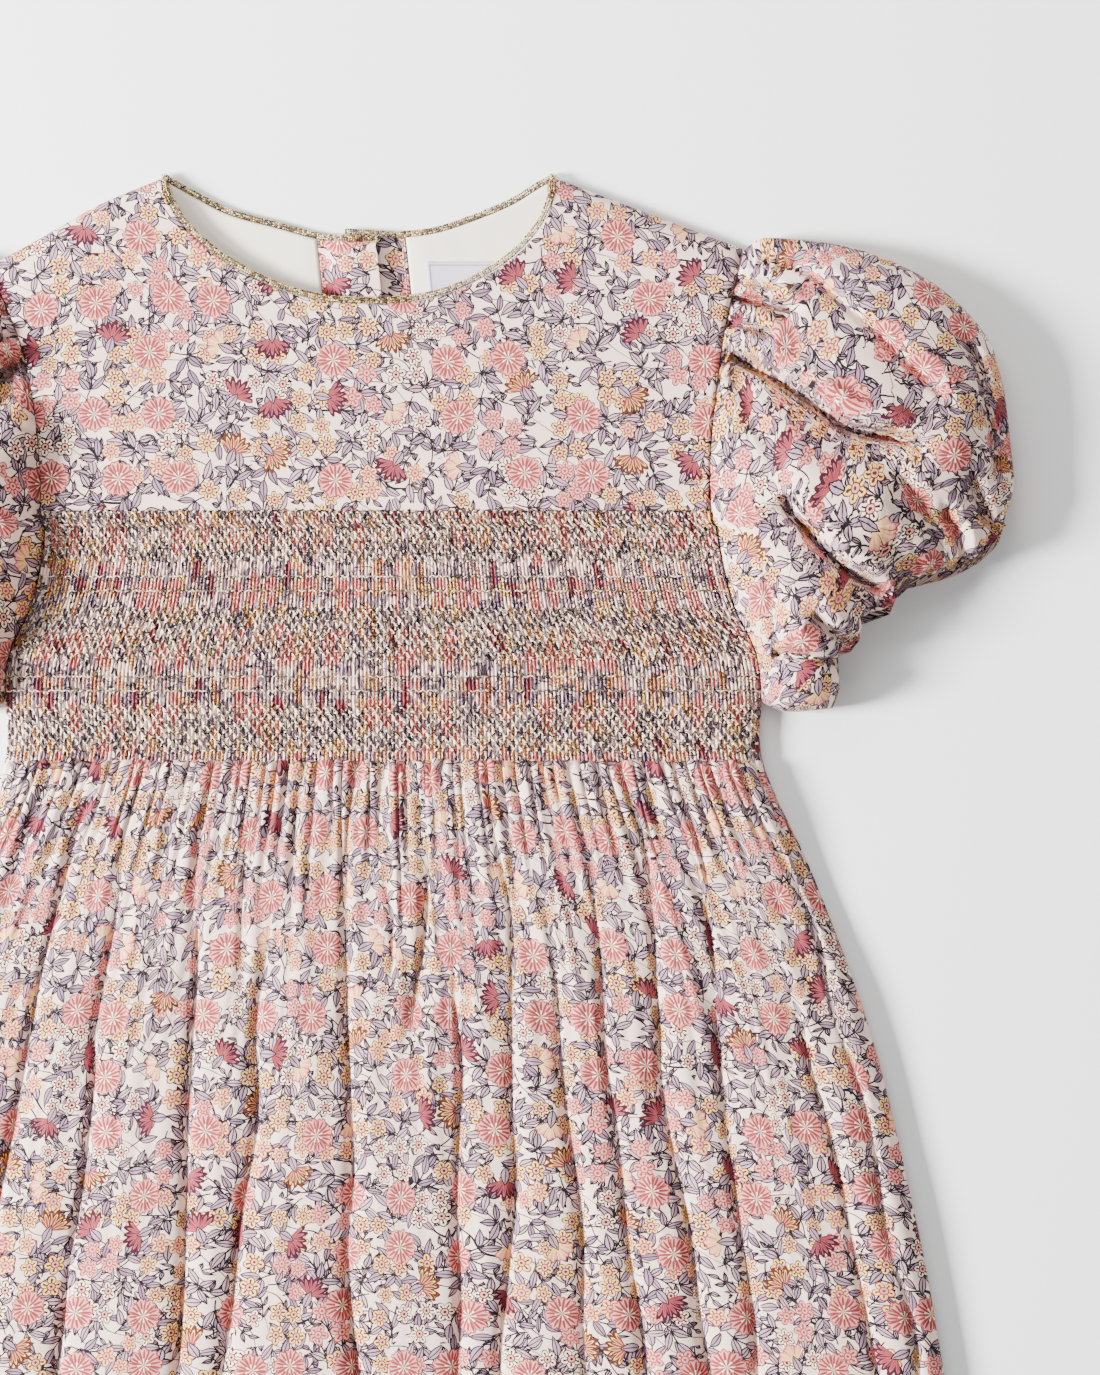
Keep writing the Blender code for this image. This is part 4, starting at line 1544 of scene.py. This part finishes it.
@dataclass
class BackBodice:
    """Back bodice in two halves, with lining, plackets and a line of placket stitches."""

    shape: DressShape
    low_edge: float = -7.1
    high_edge: float = 4.5
    slope: float = 10.5
    lap_raise: float = 2.0
    layer: float = 1.3
    facing_y: float = 250.0
    facing_end: float = 73.5
    placket_right: float = 18.4
    placket_left: float = 15.6
    seam_gap: float = 0.3
    lining_wrinkle: float = 0.55
    wrinkle_from: float = 6.0
    stitch_count: int = 16
    stitch_top_y: float = 291.0
    stitch_inset: float = 1.4
    stitch_radius: float = 0.14
    tuck_height: float = 1.4
    tucks: tuple = (
        (-0.82, 9.0), (-0.66, 7.0), (-0.47, 9.0), (-0.30, 8.0), (-0.12, 9.0),
        (0.09, 7.0), (0.27, 9.0), (0.45, 8.0), (0.63, 9.0), (0.81, 8.0),
    )

    def lap(self, x: np.ndarray) -> np.ndarray:
        """1 beside the opening, where the halves lap over the buttons, and 0 away from it."""
        beyond = np.maximum(np.maximum(self.low_edge - x, x - self.high_edge), 0.0)
        return 1.0 - smooth_step(beyond / self.slope)

    def under(self, side: int, layer: int, x: np.ndarray) -> np.ndarray:
        """Underside of a layer of one half.

        Args:
            side: 1 for the left half and -1 for the right one, which laps over it.
            layer: 0 for the bodice and more for what lies on it.
            x: Distance from the middle.

        Returns:
            Height over the surface.
        """
        over = self.lap_raise if side > 0 else self.lap_raise + 2 * self.layer
        return over * self.lap(x) + layer * self.layer

    def neck(self, side: int) -> np.ndarray:
        """The neck edge of one half."""
        rows = self.shape.back_neck_left if side > 0 else self.shape.back_neck_right
        return curve_through(rows, 90)

    def half_panel(self, side: int, name: str, node: str, finishes: Finishes) -> None:
        """Builds one half of the back.

        Args:
            side: 1 for the left half and -1 for the right one.
            name: The piece's name.
            node: The solid that it stands for.
            finishes: The dress's finishes.
        """
        shape = self.shape
        neck = self.neck(side)
        shoulder = np.linspace((shape.neck_half, shape.top_y), shape.shoulder_tip, 22)[1:]
        top = np.vstack([curve_through(neck, 60), shoulder])
        edge = self.low_edge if side > 0 else -self.high_edge
        share = np.linspace(0.0, 1.0, 60)[:, None]
        y = shape.waist_y + (top[:, 1] - shape.waist_y) * share
        first = edge / shape.half_width(y)
        low = first + (1.0 - first) * np.linspace(0.0, 1.0, len(top))
        high = top[:, 0] / shape.half_width(top[:, 1])
        x = shape.half_width(y) * (low + (high - low) * smooth_step(share) ** 0.8)
        x[:, 0] = edge
        if side < 0:
            x, y = -x[:, ::-1], y[:, ::-1]
        z = self.under(side, 0, x)
        points = shape.place(np.stack([x, y, z], -1))
        piece = cloth_mesh(name, points, np.stack([x * MM + 0.9, y * MM], -1))
        add_wall(piece, 0.95, offset=1.0)
        hand_over(piece, finishes.print_cotton, [node])

    def facing(
        self, side: int, name: str, node: str, first: float, last: float,
        finish: bpy.types.Material, slot: Slot,
    ) -> None:
        """Builds a strip of cloth inside the back neck.

        Args:
            side: The half that it lies on.
            name: The piece's name.
            node: The solid that it stands for.
            first: Its near edge, from the middle.
            last: Its far edge.
            finish: Its finish.
            slot: Which finish it has; only the lining gets wrinkles.
        """
        neck = self.neck(side)
        xs = np.linspace(first, last, 40)
        y_top = np.interp(xs, neck[:, 0], neck[:, 1])
        share = np.linspace(0.0, 1.0, 36)[:, None]
        y = self.facing_y + (y_top - self.facing_y) * share
        x = np.broadcast_to(xs, y.shape) * side
        if side < 0:
            x, y = x[:, ::-1], y[:, ::-1]
        wrinkle = 0.0
        if slot is Slot.LINING:
            uneven = ripples(x / 17.0 + y / 24.0, 61 + side) * ripples(y / 14.0, 63)
            wrinkle = self.lining_wrinkle * (1.0 + uneven)
            wrinkle *= np.minimum(1.0, (np.abs(x) - first) / self.wrinkle_from)
        z = self.under(side, 1, x) + 0.9 + wrinkle
        points = self.shape.place(np.stack([x, y, z], -1))
        piece = cloth_mesh(name, points, np.stack([x * MM + 1.7, y * MM], -1))
        add_wall(piece)
        hand_over(piece, finish, [node])

    def placket_stitches(self, finishes: Finishes) -> None:
        """Sews a line of stitches beside the edge of the left placket.

        Args:
            finishes: The dress's finishes.
        """
        y = np.linspace(self.facing_y + 4.0, self.stitch_top_y, self.stitch_count + 1)
        x = np.full_like(y, self.placket_left - self.stitch_inset)
        z = self.under(1, 1, x) + 1.05
        spots = np.stack([x, y, z], -1)
        start, end = spots[:-1], spots[:-1] + (spots[1:] - spots[:-1]) * 0.8
        seam = StitchField("placket_stitches", self.stitch_radius, finishes.sewing)
        piece = seam.build(self.shape.place(start), self.shape.place(end))
        hand_over(piece, finishes.sewing)

    def build(self, finishes: Finishes) -> None:
        """Builds both halves with what lies on them.

        Args:
            finishes: The dress's finishes.
        """
        halves = (
            (1, "left", self.low_edge, self.placket_left),
            (-1, "right", -self.high_edge, self.placket_right),
        )
        for side, hand, _, _ in halves:
            self.half_panel(side, "cloth_back_" + hand, "bodice_back_" + hand, finishes)
        for side, hand, first, last in halves:
            self.facing(side, "cloth_placket_" + hand, "placket_" + hand, first, last,
                        finishes.print_cotton, Slot.PRINT)
        for side, hand, _, last in halves:
            self.facing(side, "lining_" + hand, "lining_back_" + hand, last + self.seam_gap,
                        self.facing_end, finishes.lining, Slot.LINING)
        self.placket_stitches(finishes)


@dataclass(frozen=True)
class Crease:
    """A narrow gap between two folds of a sleeve, with a soft sag on the right of its line."""

    depth: float
    gap: float
    sag: float
    points: tuple


@dataclass
class Sleeve:
    """A short puff sleeve, gathered at its head and at its elastic hem."""

    shape: DressShape
    side: int
    node: str
    under_columns: int = 14
    top_columns: int = 230
    rings: int = 128
    inside_edge: float = 0.9
    seam_tuck: float = 2.4
    seam_reach: float = 0.02
    head_reach: float = 0.10
    head_gathers: int = 24
    head_height: float = 2.6
    hem_reach: float = 0.13
    hem_gathers: int = 19
    hem_height: float = 2.2
    hem_tuck: float = 4.0
    hem_tuck_reach: float = 0.035
    hem_scallop: float = 1.3
    hem_direction: tuple[float, float] = (-0.74, 0.67)
    edge_share: float = 0.35
    edge_most: float = 4.0
    crease_full_height: float = 10.0
    least_hollow: float = 0.9
    lip: float = 0.16
    lip_place: float = 2.6
    line_steps: int = 36
    print_shift: tuple[float, float] = (0.3, 0.11)
    grain_tilt: float = 38.0
    print_push: float = 0.42
    print_recovers: float = 28.0
    overarm: tuple = (
        (145.9, 287.2), (151.7, 291.1), (158.6, 291.8), (183.5, 288.8), (202.2, 282.6),
        (220.5, 271.8), (235.5, 255.2), (241.8, 237.0), (245.1, 211.2), (246.1, 195.7),
        (241.9, 183.0),
    )
    hem: tuple = (
        (241.9, 183.0), (236.3, 171.4), (221.5, 162.5), (209.7, 159.1), (200.5, 156.5),
        (196.5, 151.5), (195.0, 146.5), (188.5, 145.2), (184.3, 143.0), (183.4, 136.5),
        (180.5, 132.8), (175.3, 130.5), (175.9, 124.5), (176.3, 118.0), (173.7, 110.4),
    )
    underarm: tuple = ((145.9, 113.9), (148.2, 111.6), (157.1, 108.9), (173.7, 110.4))
    puff: tuple = (
        (0.0, 8.5, 0.5), (0.07, 17.0, 0.5), (0.18, 25.0, 0.55), (0.34, 32.0, 0.6),
        (0.52, 35.0, 0.65), (0.69, 33.0, 0.65), (0.83, 27.0, 0.6), (0.93, 20.0, 0.55),
        (0.97, 15.0, 0.5), (1.0, 12.5, 0.5),
    )
    creases: tuple[Crease, ...] = (
        Crease(6.0, 1.8, 9.0, ((142.0, 281.0), (154.0, 281.5), (167.6, 278.7), (186.4, 260.2),
                               (203.3, 242.8), (218.7, 227.4), (225.0, 216.0))),
        Crease(14.0, 1.5, 5.0, ((134.0, 269.0), (152.0, 266.7), (166.0, 262.0))),
        Crease(20.0, 1.9, 11.0, ((134.0, 248.5), (145.0, 242.5), (157.4, 235.1), (172.7, 223.5),
                                 (182.2, 217.0), (199.5, 213.9), (217.0, 209.0))),
        Crease(3.6, 2.6, 8.0, ((138.0, 240.0), (144.0, 226.0), (151.2, 209.0), (158.0, 190.0))),
        Crease(13.0, 1.8, 9.0, ((156.0, 192.0), (162.0, 180.0), (172.3, 167.5), (185.3, 158.7),
                                (199.0, 154.5))),
        Crease(8.5, 1.6, 4.0, ((163.0, 146.0), (176.5, 137.0), (186.0, 141.0))),
        Crease(4.0, 2.0, 5.0, ((147.0, 162.0), (150.5, 145.0), (149.5, 126.0))),
        Crease(8.5, 1.5, 4.0, ((149.0, 131.5), (163.0, 130.0), (180.0, 127.0))),
        Crease(7.0, 1.8, 6.0, ((226.0, 252.0), (231.7, 241.0), (237.5, 214.0), (240.0, 190.0))),
        Crease(7.5, 1.6, 4.0, ((217.0, 188.0), (221.0, 175.0), (224.0, 161.0))),
        Crease(6.5, 1.6, 4.0, ((227.0, 200.0), (232.0, 187.0), (238.0, 174.0))),
        Crease(5.0, 1.6, 5.0, ((198.0, 200.0), (209.0, 186.0), (214.0, 170.0), (212.0, 158.0))),
        Crease(9.0, 1.4, 3.5, ((132.0, 259.5), (145.0, 257.0), (156.0, 252.0))),
        Crease(8.0, 1.4, 3.5, ((137.0, 276.0), (150.0, 273.5), (160.0, 272.0))),
    )

    def ring_table(self) -> tuple[np.ndarray, np.ndarray, np.ndarray]:
        """The rings, closer together near both ends.

        Returns:
            Share of the way from armhole to hem, height and fullness of each ring.
        """
        table = np.array(self.puff)
        share = (1.0 - np.cos(np.linspace(0.0, math.pi, self.rings + 1))) / 2.0
        height = curve_through(table[:, :2], 200)
        fullness = np.interp(share, table[:, 0], table[:, 2])
        return share, np.interp(share, height[:, 0], height[:, 1]), fullness

    def plan(self, along: np.ndarray, across: np.ndarray) -> np.ndarray:
        """Points seen from above, between the armhole, the hem and the two edges.

        Args:
            along: Share of the way from armhole to hem.
            across: Share of the way from the overarm to the underarm edge.

        Returns:
            Distance from the middle, and height, of each point.
        """
        edges = [curve_through(curve, 161) for curve in (self.overarm, self.underarm, self.hem)]

        def on(curve: np.ndarray, share: np.ndarray) -> np.ndarray:
            """Points at shares of a curve."""
            at = share * (len(curve) - 1)
            spots = np.arange(len(curve))
            return np.stack([np.interp(at, spots, curve[:, axis]) for axis in (0, 1)], -1)

        def armhole(share: np.ndarray) -> np.ndarray:
            """Points at shares of the armhole, just inside the body's edge."""
            y = self.overarm[0][1] + (self.underarm[0][1] - self.overarm[0][1]) * share
            return np.stack([self.shape.half_width(y) - self.inside_edge, y], -1)

        over, under, hem = edges
        a, c = along[..., None], across[..., None]
        sides = (1 - c) * on(over, along) + c * on(under, along)
        ends = (1 - a) * armhole(across) + a * on(hem, across)
        zero, one = np.zeros_like(across), np.ones_like(across)
        corners = (1 - a) * ((1 - c) * armhole(zero) + c * armhole(one))
        return sides + ends - corners - a * ((1 - c) * hem[0] + c * hem[-1])

    def sunk(self, spots: np.ndarray) -> tuple[np.ndarray, np.ndarray]:
        """The creases' form.

        Args:
            spots: Points seen from above.

        Returns:
            How far they sink the top at each point, and how far the cloth hidden in them
            shifts the print there.
        """
        total = np.zeros(spots.shape[:-1])
        hidden = np.zeros_like(spots)
        for crease in self.creases:
            line = curve_through(crease.points, self.line_steps)
            ahead = np.gradient(line, axis=0)
            offset = spots[..., None, :] - line
            apart = np.linalg.norm(offset, axis=-1)
            nearest = apart.argmin(-1)
            near = apart.min(-1)
            by = np.take_along_axis(offset, nearest[..., None, None], axis=-2)[..., 0, :]
            turn = ahead[nearest][..., 0] * by[..., 1] - ahead[nearest][..., 1] * by[..., 0]
            at = nearest / (self.line_steps - 1.0)
            ends = smooth_step(at / 0.15 + 0.25) * smooth_step((1.0 - at) / 0.25)
            width = np.where(turn > 0.0, crease.gap * 1.6, crease.sag)
            narrow = np.exp(-((near / crease.gap) ** 2))
            broad = np.exp(-((near / width) ** 2))
            lip = self.lip * np.exp(-(((near - self.lip_place * width) / width) ** 2))
            total += crease.depth * ends * (0.5 * narrow + 0.5 * broad - lip)
            spread = (1.0 - narrow) * np.exp(-((near / self.print_recovers) ** 2))
            push = crease.depth * self.print_push * ends * spread / np.maximum(near, 1e-6)
            hidden += push[..., None] * by
        return total, hidden

    def angles(self) -> np.ndarray:
        """Angles round the sleeve, from the middle of its underside, closer over its top."""
        quarter = math.pi / 2
        return np.concatenate([
            np.linspace(-quarter, 0.0, self.under_columns, endpoint=False),
            np.linspace(0.0, math.pi, self.top_columns, endpoint=False),
            np.linspace(math.pi, 3 * quarter, self.under_columns + 1),
        ])

    def unrolled(self, spots: np.ndarray, height: np.ndarray, top: np.ndarray) -> np.ndarray:
        """Place on the flat cloth: the plan, stretched by how steeply the puff rises.

        Args:
            spots: Points seen from above, by ring and column.
            height: Their height without creases.
            top: Whether each point is on the upper side.

        Returns:
            Flat places in metres.
        """
        middle = spots.shape[1] // 2

        def steps(axis: int) -> np.ndarray:
            """Steps between neighbours seen from above, made as long as the cloth is."""
            seen = np.diff(spots, axis=axis)
            size = np.linalg.norm(seen, axis=-1)
            length = np.hypot(size, np.diff(height, axis=axis))
            return seen * (length / np.maximum(size, 1e-6))[..., None]

        across = steps(1)
        across[~(top[:, :-1] & top[:, 1:])] *= -1.0
        along = steps(0)[:, middle]
        run = np.concatenate([np.zeros_like(across[:, :1]), np.cumsum(across, axis=1)], axis=1)
        climb = np.concatenate([np.zeros((1, 2)), np.cumsum(along, axis=0)])
        return (run - run[:, middle : middle + 1] + climb[:, None]) * MM

    def build(self, finishes: Finishes) -> None:
        """Builds the sleeve.

        Args:
            finishes: The dress's finishes.
        """
        share, height, fullness = self.ring_table()
        angle, along = np.meshgrid(self.angles(), share)
        across = (1.0 - np.cos(angle)) / 2.0
        bulge = np.abs(np.sin(angle))
        height, fullness = height[:, None], fullness[:, None]
        top = np.sin(angle) >= 0.0
        spots = self.plan(along, across)
        plain_spots = spots.copy()
        seed = 70 + self.side
        from_hem = 1.0 - along
        head = np.exp(-((along / self.head_reach) ** 2)) * smooth_step((0.62 - across) / 0.2)
        hem = np.exp(-((from_hem / self.hem_reach) ** 2))
        head_place = across * self.head_gathers + 0.5 * ripples(across * 7, seed)
        hem_place = across * self.hem_gathers + 0.6 * ripples(across * 6, seed + 5)
        ridges = np.abs(np.sin(math.pi * head_place)) ** 0.8
        hem_ridges = np.abs(np.sin(math.pi * hem_place)) ** 0.9
        spread = self.head_height * head * ridges + self.hem_height * hem * hem_ridges
        middle = np.minimum(self.edge_share * height, self.edge_most)
        rise = (height - middle) * bulge**fullness
        soft = 0.5 * ripples(spots[..., 0] / 31 + spots[..., 1] / 47, seed + 9)
        full = np.minimum(1.0, rise / self.crease_full_height)
        sunk, hidden = self.sunk(spots)
        creased = sunk * full
        tucked = self.hem_tuck * np.exp(-((from_hem / self.hem_tuck_reach) ** 2)) * bulge * top
        tucked -= self.hem_scallop * hem * hem_ridges * np.sin(math.pi * across)
        spots += tucked[..., None] * self.hem_direction
        seam = self.seam_tuck * np.exp(-((along / self.seam_reach) ** 2)) * bulge
        z_top = middle + rise + spread * bulge - creased + soft * bulge - seam
        z_low = middle * (1.0 - bulge) ** 2
        z_top = np.maximum(z_top, z_low + self.least_hollow * bulge)
        z = np.where(top, z_top, z_low)
        flat = self.unrolled(plain_spots, np.where(top, middle + rise, z_low), top)
        flat += hidden * (full * top)[..., None] * MM
        flat[..., 0] *= self.side
        local = np.stack([self.side * spots[..., 0], spots[..., 1], z], -1)
        if self.side < 0:
            local, flat = local[:, ::-1], flat[:, ::-1]
        points = self.shape.place(local)
        flat = flat + (self.print_shift[0] * self.side, self.print_shift[1])
        tilt = math.radians(self.grain_tilt) * self.side
        turned = np.stack([
            flat[..., 0] * math.cos(tilt) - flat[..., 1] * math.sin(tilt),
            flat[..., 0] * math.sin(tilt) + flat[..., 1] * math.cos(tilt),
        ], -1)
        piece = cloth_mesh("cloth_" + self.node, points, turned, around=True)
        add_wall(piece)
        hand_over(piece, finishes.print_cotton, [self.node])


@dataclass
class NeckPiping:
    """Braided metallic cord sewn along the neck edges."""

    shape: DressShape
    radius: float = 1.35
    gap: float = 0.2
    apex: tuple[float, float] = (75.1, 316.2)
    apex_height: float = 3.0
    stitch_pitch: float = 0.95
    strands: int = 8
    strand_radius: float = 0.26
    strand_place: float = 0.78
    lean: float = 0.55

    def beside(self, path: np.ndarray, height: Callable, turn: float) -> np.ndarray:
        """The path moved off its cloth edge.

        Args:
            path: The cloth's edge.
            height: Gives the cord's height over the surface at each point of the edge.
            turn: Which side of the edge the cord lies on.

        Returns:
            The cord's middle line.
        """
        ahead = np.gradient(path, axis=0)
        ahead /= np.linalg.norm(ahead, axis=1, keepdims=True)
        away = turn * np.stack([-ahead[:, 1], ahead[:, 0]], 1)
        moved = path + away * (self.radius + self.gap)
        return np.column_stack([moved, height(path[:, 0], path[:, 1])])

    def routes(self) -> dict[str, tuple[str, np.ndarray]]:
        """The cords' routes along the neck edges.

        Returns:
            Solid and middle line of each cord, by the piece's name.
        """
        shape, back = self.shape, BackBodice(self.shape)
        half = curve_through(shape.front_neck, 60)[:-3]
        whole = np.vstack([(half * (-1.0, 1.0))[::-1], half[1:]])
        front = self.beside(
            whole, lambda x, y: shape.seam_rise + 0.7 + shape.body_lift(x, y), 1.0
        )
        end_x, end_y = self.apex
        high = self.apex_height
        front = np.vstack([[(-end_x, end_y, high)], front, [(end_x, end_y, high)]])
        found = {"cord_front": ("neck_piping_front", front)}
        for side, name in ((1, "left"), (-1, "right")):
            path = curve_through(
                shape.back_neck_left if side > 0 else shape.back_neck_right, 50
            )[:-2] * (side, 1.0)
            over = 0.6 if side < 0 else 0.0
            route = self.beside(
                path,
                lambda x, y, side=side, over=over: np.maximum(
                    self.radius, back.under(side, 0, x) + 0.6 + over * back.lap(x)
                ),
                side,
            )
            route = np.vstack([route, [(side * end_x, end_y, self.radius)]])
            found["cord_back_" + name] = ("neck_piping_back_" + name, route)
        return found

    def build(self, finishes: Finishes) -> None:
        """Builds each cord as rows of slanting stitches round its middle line, alternate rows
        leaning opposite ways.

        Args:
            finishes: The dress's finishes.
        """
        for name, (node, route) in self.routes().items():
            length = np.linalg.norm(np.diff(route, axis=0), axis=1).sum()
            count = int(length / self.stitch_pitch)
            line = curve_through(route, count + 1)
            ahead = np.gradient(line, axis=0)
            ahead /= np.linalg.norm(ahead, axis=1, keepdims=True)
            aside = np.cross(ahead, (0.0, 0.0, 1.0))
            aside /= np.linalg.norm(aside, axis=1, keepdims=True)
            above = np.cross(aside, ahead)
            starts, ends = [], []
            half = ahead * self.stitch_pitch * 0.5
            out = self.radius * self.strand_place
            for strand in range(self.strands):
                turn = 2 * math.pi * strand / self.strands
                lean = self.lean if strand % 2 else -self.lean
                ring = [
                    aside * math.cos(turn + swing) + above * math.sin(turn + swing)
                    for swing in (-lean / 2, lean / 2)
                ]
                starts.append(line - half + ring[0] * out)
                ends.append(line + half + ring[1] * out)
            braid = StitchField(name, self.strand_radius, finishes.piping)
            piece = braid.build(
                self.shape.place(np.vstack(starts)), self.shape.place(np.vstack(ends))
            )
            hand_over(piece, finishes.piping, [node])


@dataclass
class Label:
    """A blank woven label, sewn to the lining."""

    shape: DressShape
    width: float = 45.0
    height: float = 20.0
    corner: tuple[float, float] = (22.6, 283.0)
    thickness: float = 0.4
    end_rise: float = 0.3
    wave: float = 0.25

    def build(self, finishes: Finishes) -> None:
        """Builds the label as a slightly curved ribbon whose ends rise a little.

        Args:
            finishes: The dress's finishes.
        """
        back = BackBodice(self.shape)
        first_x, top_y = self.corner
        last_x, low_y = first_x + self.width, top_y - self.height
        x, y = np.meshgrid(np.linspace(first_x, last_x, 60), np.linspace(low_y, top_y, 30))
        end = np.minimum(x - first_x, last_x - x)
        z = back.under(1, 2, x) + 0.75 + self.end_rise * np.exp(-((end / 2.0) ** 2))
        z += self.wave * ripples(x / 30, 81)
        points = self.shape.place(np.stack([x, y, z], -1))
        flat = (np.stack([x, y], -1) - (first_x, low_y)) * MM
        piece = cloth_mesh("blank_label", points, flat)
        add_wall(piece, self.thickness)
        hand_over(piece, finishes.label, ["label"])


@dataclass
class Studio:
    """Floor, light and camera. The camera looks straight down, as the photo does."""

    view_centre: tuple[float, float] = (0.0672, 0.1183)
    camera_height: float = 1.48
    lens: float = 100.0
    air: float = 0.56
    lamps_aim: tuple[float, float, float] = (0.05, 0.1, 0.0)
    floor_half: float = 4.0
    floor_top: float = -0.0004
    paper: tuple = from_screen(249, 249, 249)
    paper_grain: tuple = from_screen(252, 252, 252)

    def floor(self) -> None:
        """A large pale floor."""
        mesh = bpy.data.meshes.new("floor")
        half, top = self.floor_half, self.floor_top
        corners = [(-half, -half, top), (half, -half, top), (half, half, top), (-half, half, top)]
        mesh.from_pydata(corners, [], [(0, 1, 2, 3)])
        plane = linked("floor", mesh)
        graph = Graph("floor_paper")
        grain = graph.noise(graph.object_place(), 900.0, 2.0)
        mesh.materials.append(graph.finish({
            "Base Color": graph.mix(grain, self.paper, self.paper_grain),
            "Roughness": 0.9,
            "Specular IOR Level": 0.1,
        }))

    def lamp(self, name: str, place: Sequence[float], size: float, power: float) -> None:
        """A square soft light, turned to the dress.

        Args:
            name: Its name.
            place: Where it stands.
            size: Its side.
            power: In watts.
        """
        data = bpy.data.lights.new(name, "AREA")
        data.size = size
        data.energy = power
        aim = linked(name + "_aim", None)
        aim.location = self.lamps_aim
        light = linked(name, data)
        light.location = place
        aimed = light.constraints.new("TRACK_TO")
        aimed.target = aim
        aimed.track_axis = "TRACK_NEGATIVE_Z"
        aimed.up_axis = "UP_Y"

    def build(self) -> None:
        """Builds the whole studio."""
        self.floor()
        self.lamp("key_light", (-1.6, 0.05, 0.95), 0.5, 215.0)
        self.lamp("fill_light", (-0.4, 1.5, 1.2), 1.2, 25.0)
        world = bpy.data.worlds.new("studio_air")
        world.use_nodes = True
        background = world.node_tree.nodes["Background"]
        background.inputs[0].default_value = (1.0, 1.0, 1.0, 1.0)
        background.inputs[1].default_value = self.air
        bpy.context.scene.world = world
        data = bpy.data.cameras.new("camera")
        data.lens = self.lens
        camera = linked("camera", data)
        camera.location = (*self.view_centre, self.camera_height)
        bpy.context.scene.camera = camera


def dress_buttons(frame: dict, finishes: Finishes) -> None:
    """Gives the buttons, which keep their solids' shape, a pearly finish.

    Args:
        frame: The loaded frame.
        finishes: The dress's finishes.
    """
    for name, node in frame["nodes"].items():
        if name.startswith("button"):
            node.data.materials.clear()
            node.data.materials.append(finishes.button)


def main() -> None:
    """Builds the whole dress in order."""
    logging.basicConfig(level=logging.INFO)
    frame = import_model()
    Studio().build()
    finishes = Finishes.made()
    shape = DressShape()
    left, right = Sleeve(shape, 1, "sleeve_left"), Sleeve(shape, -1, "sleeve_right")
    for assembly in (
        Yoke(shape), SmockedBand(shape), Skirt(shape), BackBodice(shape),
        left, right, NeckPiping(shape), Label(shape),
    ):
        assembly.build(finishes)
    dress_buttons(frame, finishes)


if __name__ == "__main__":
    main()
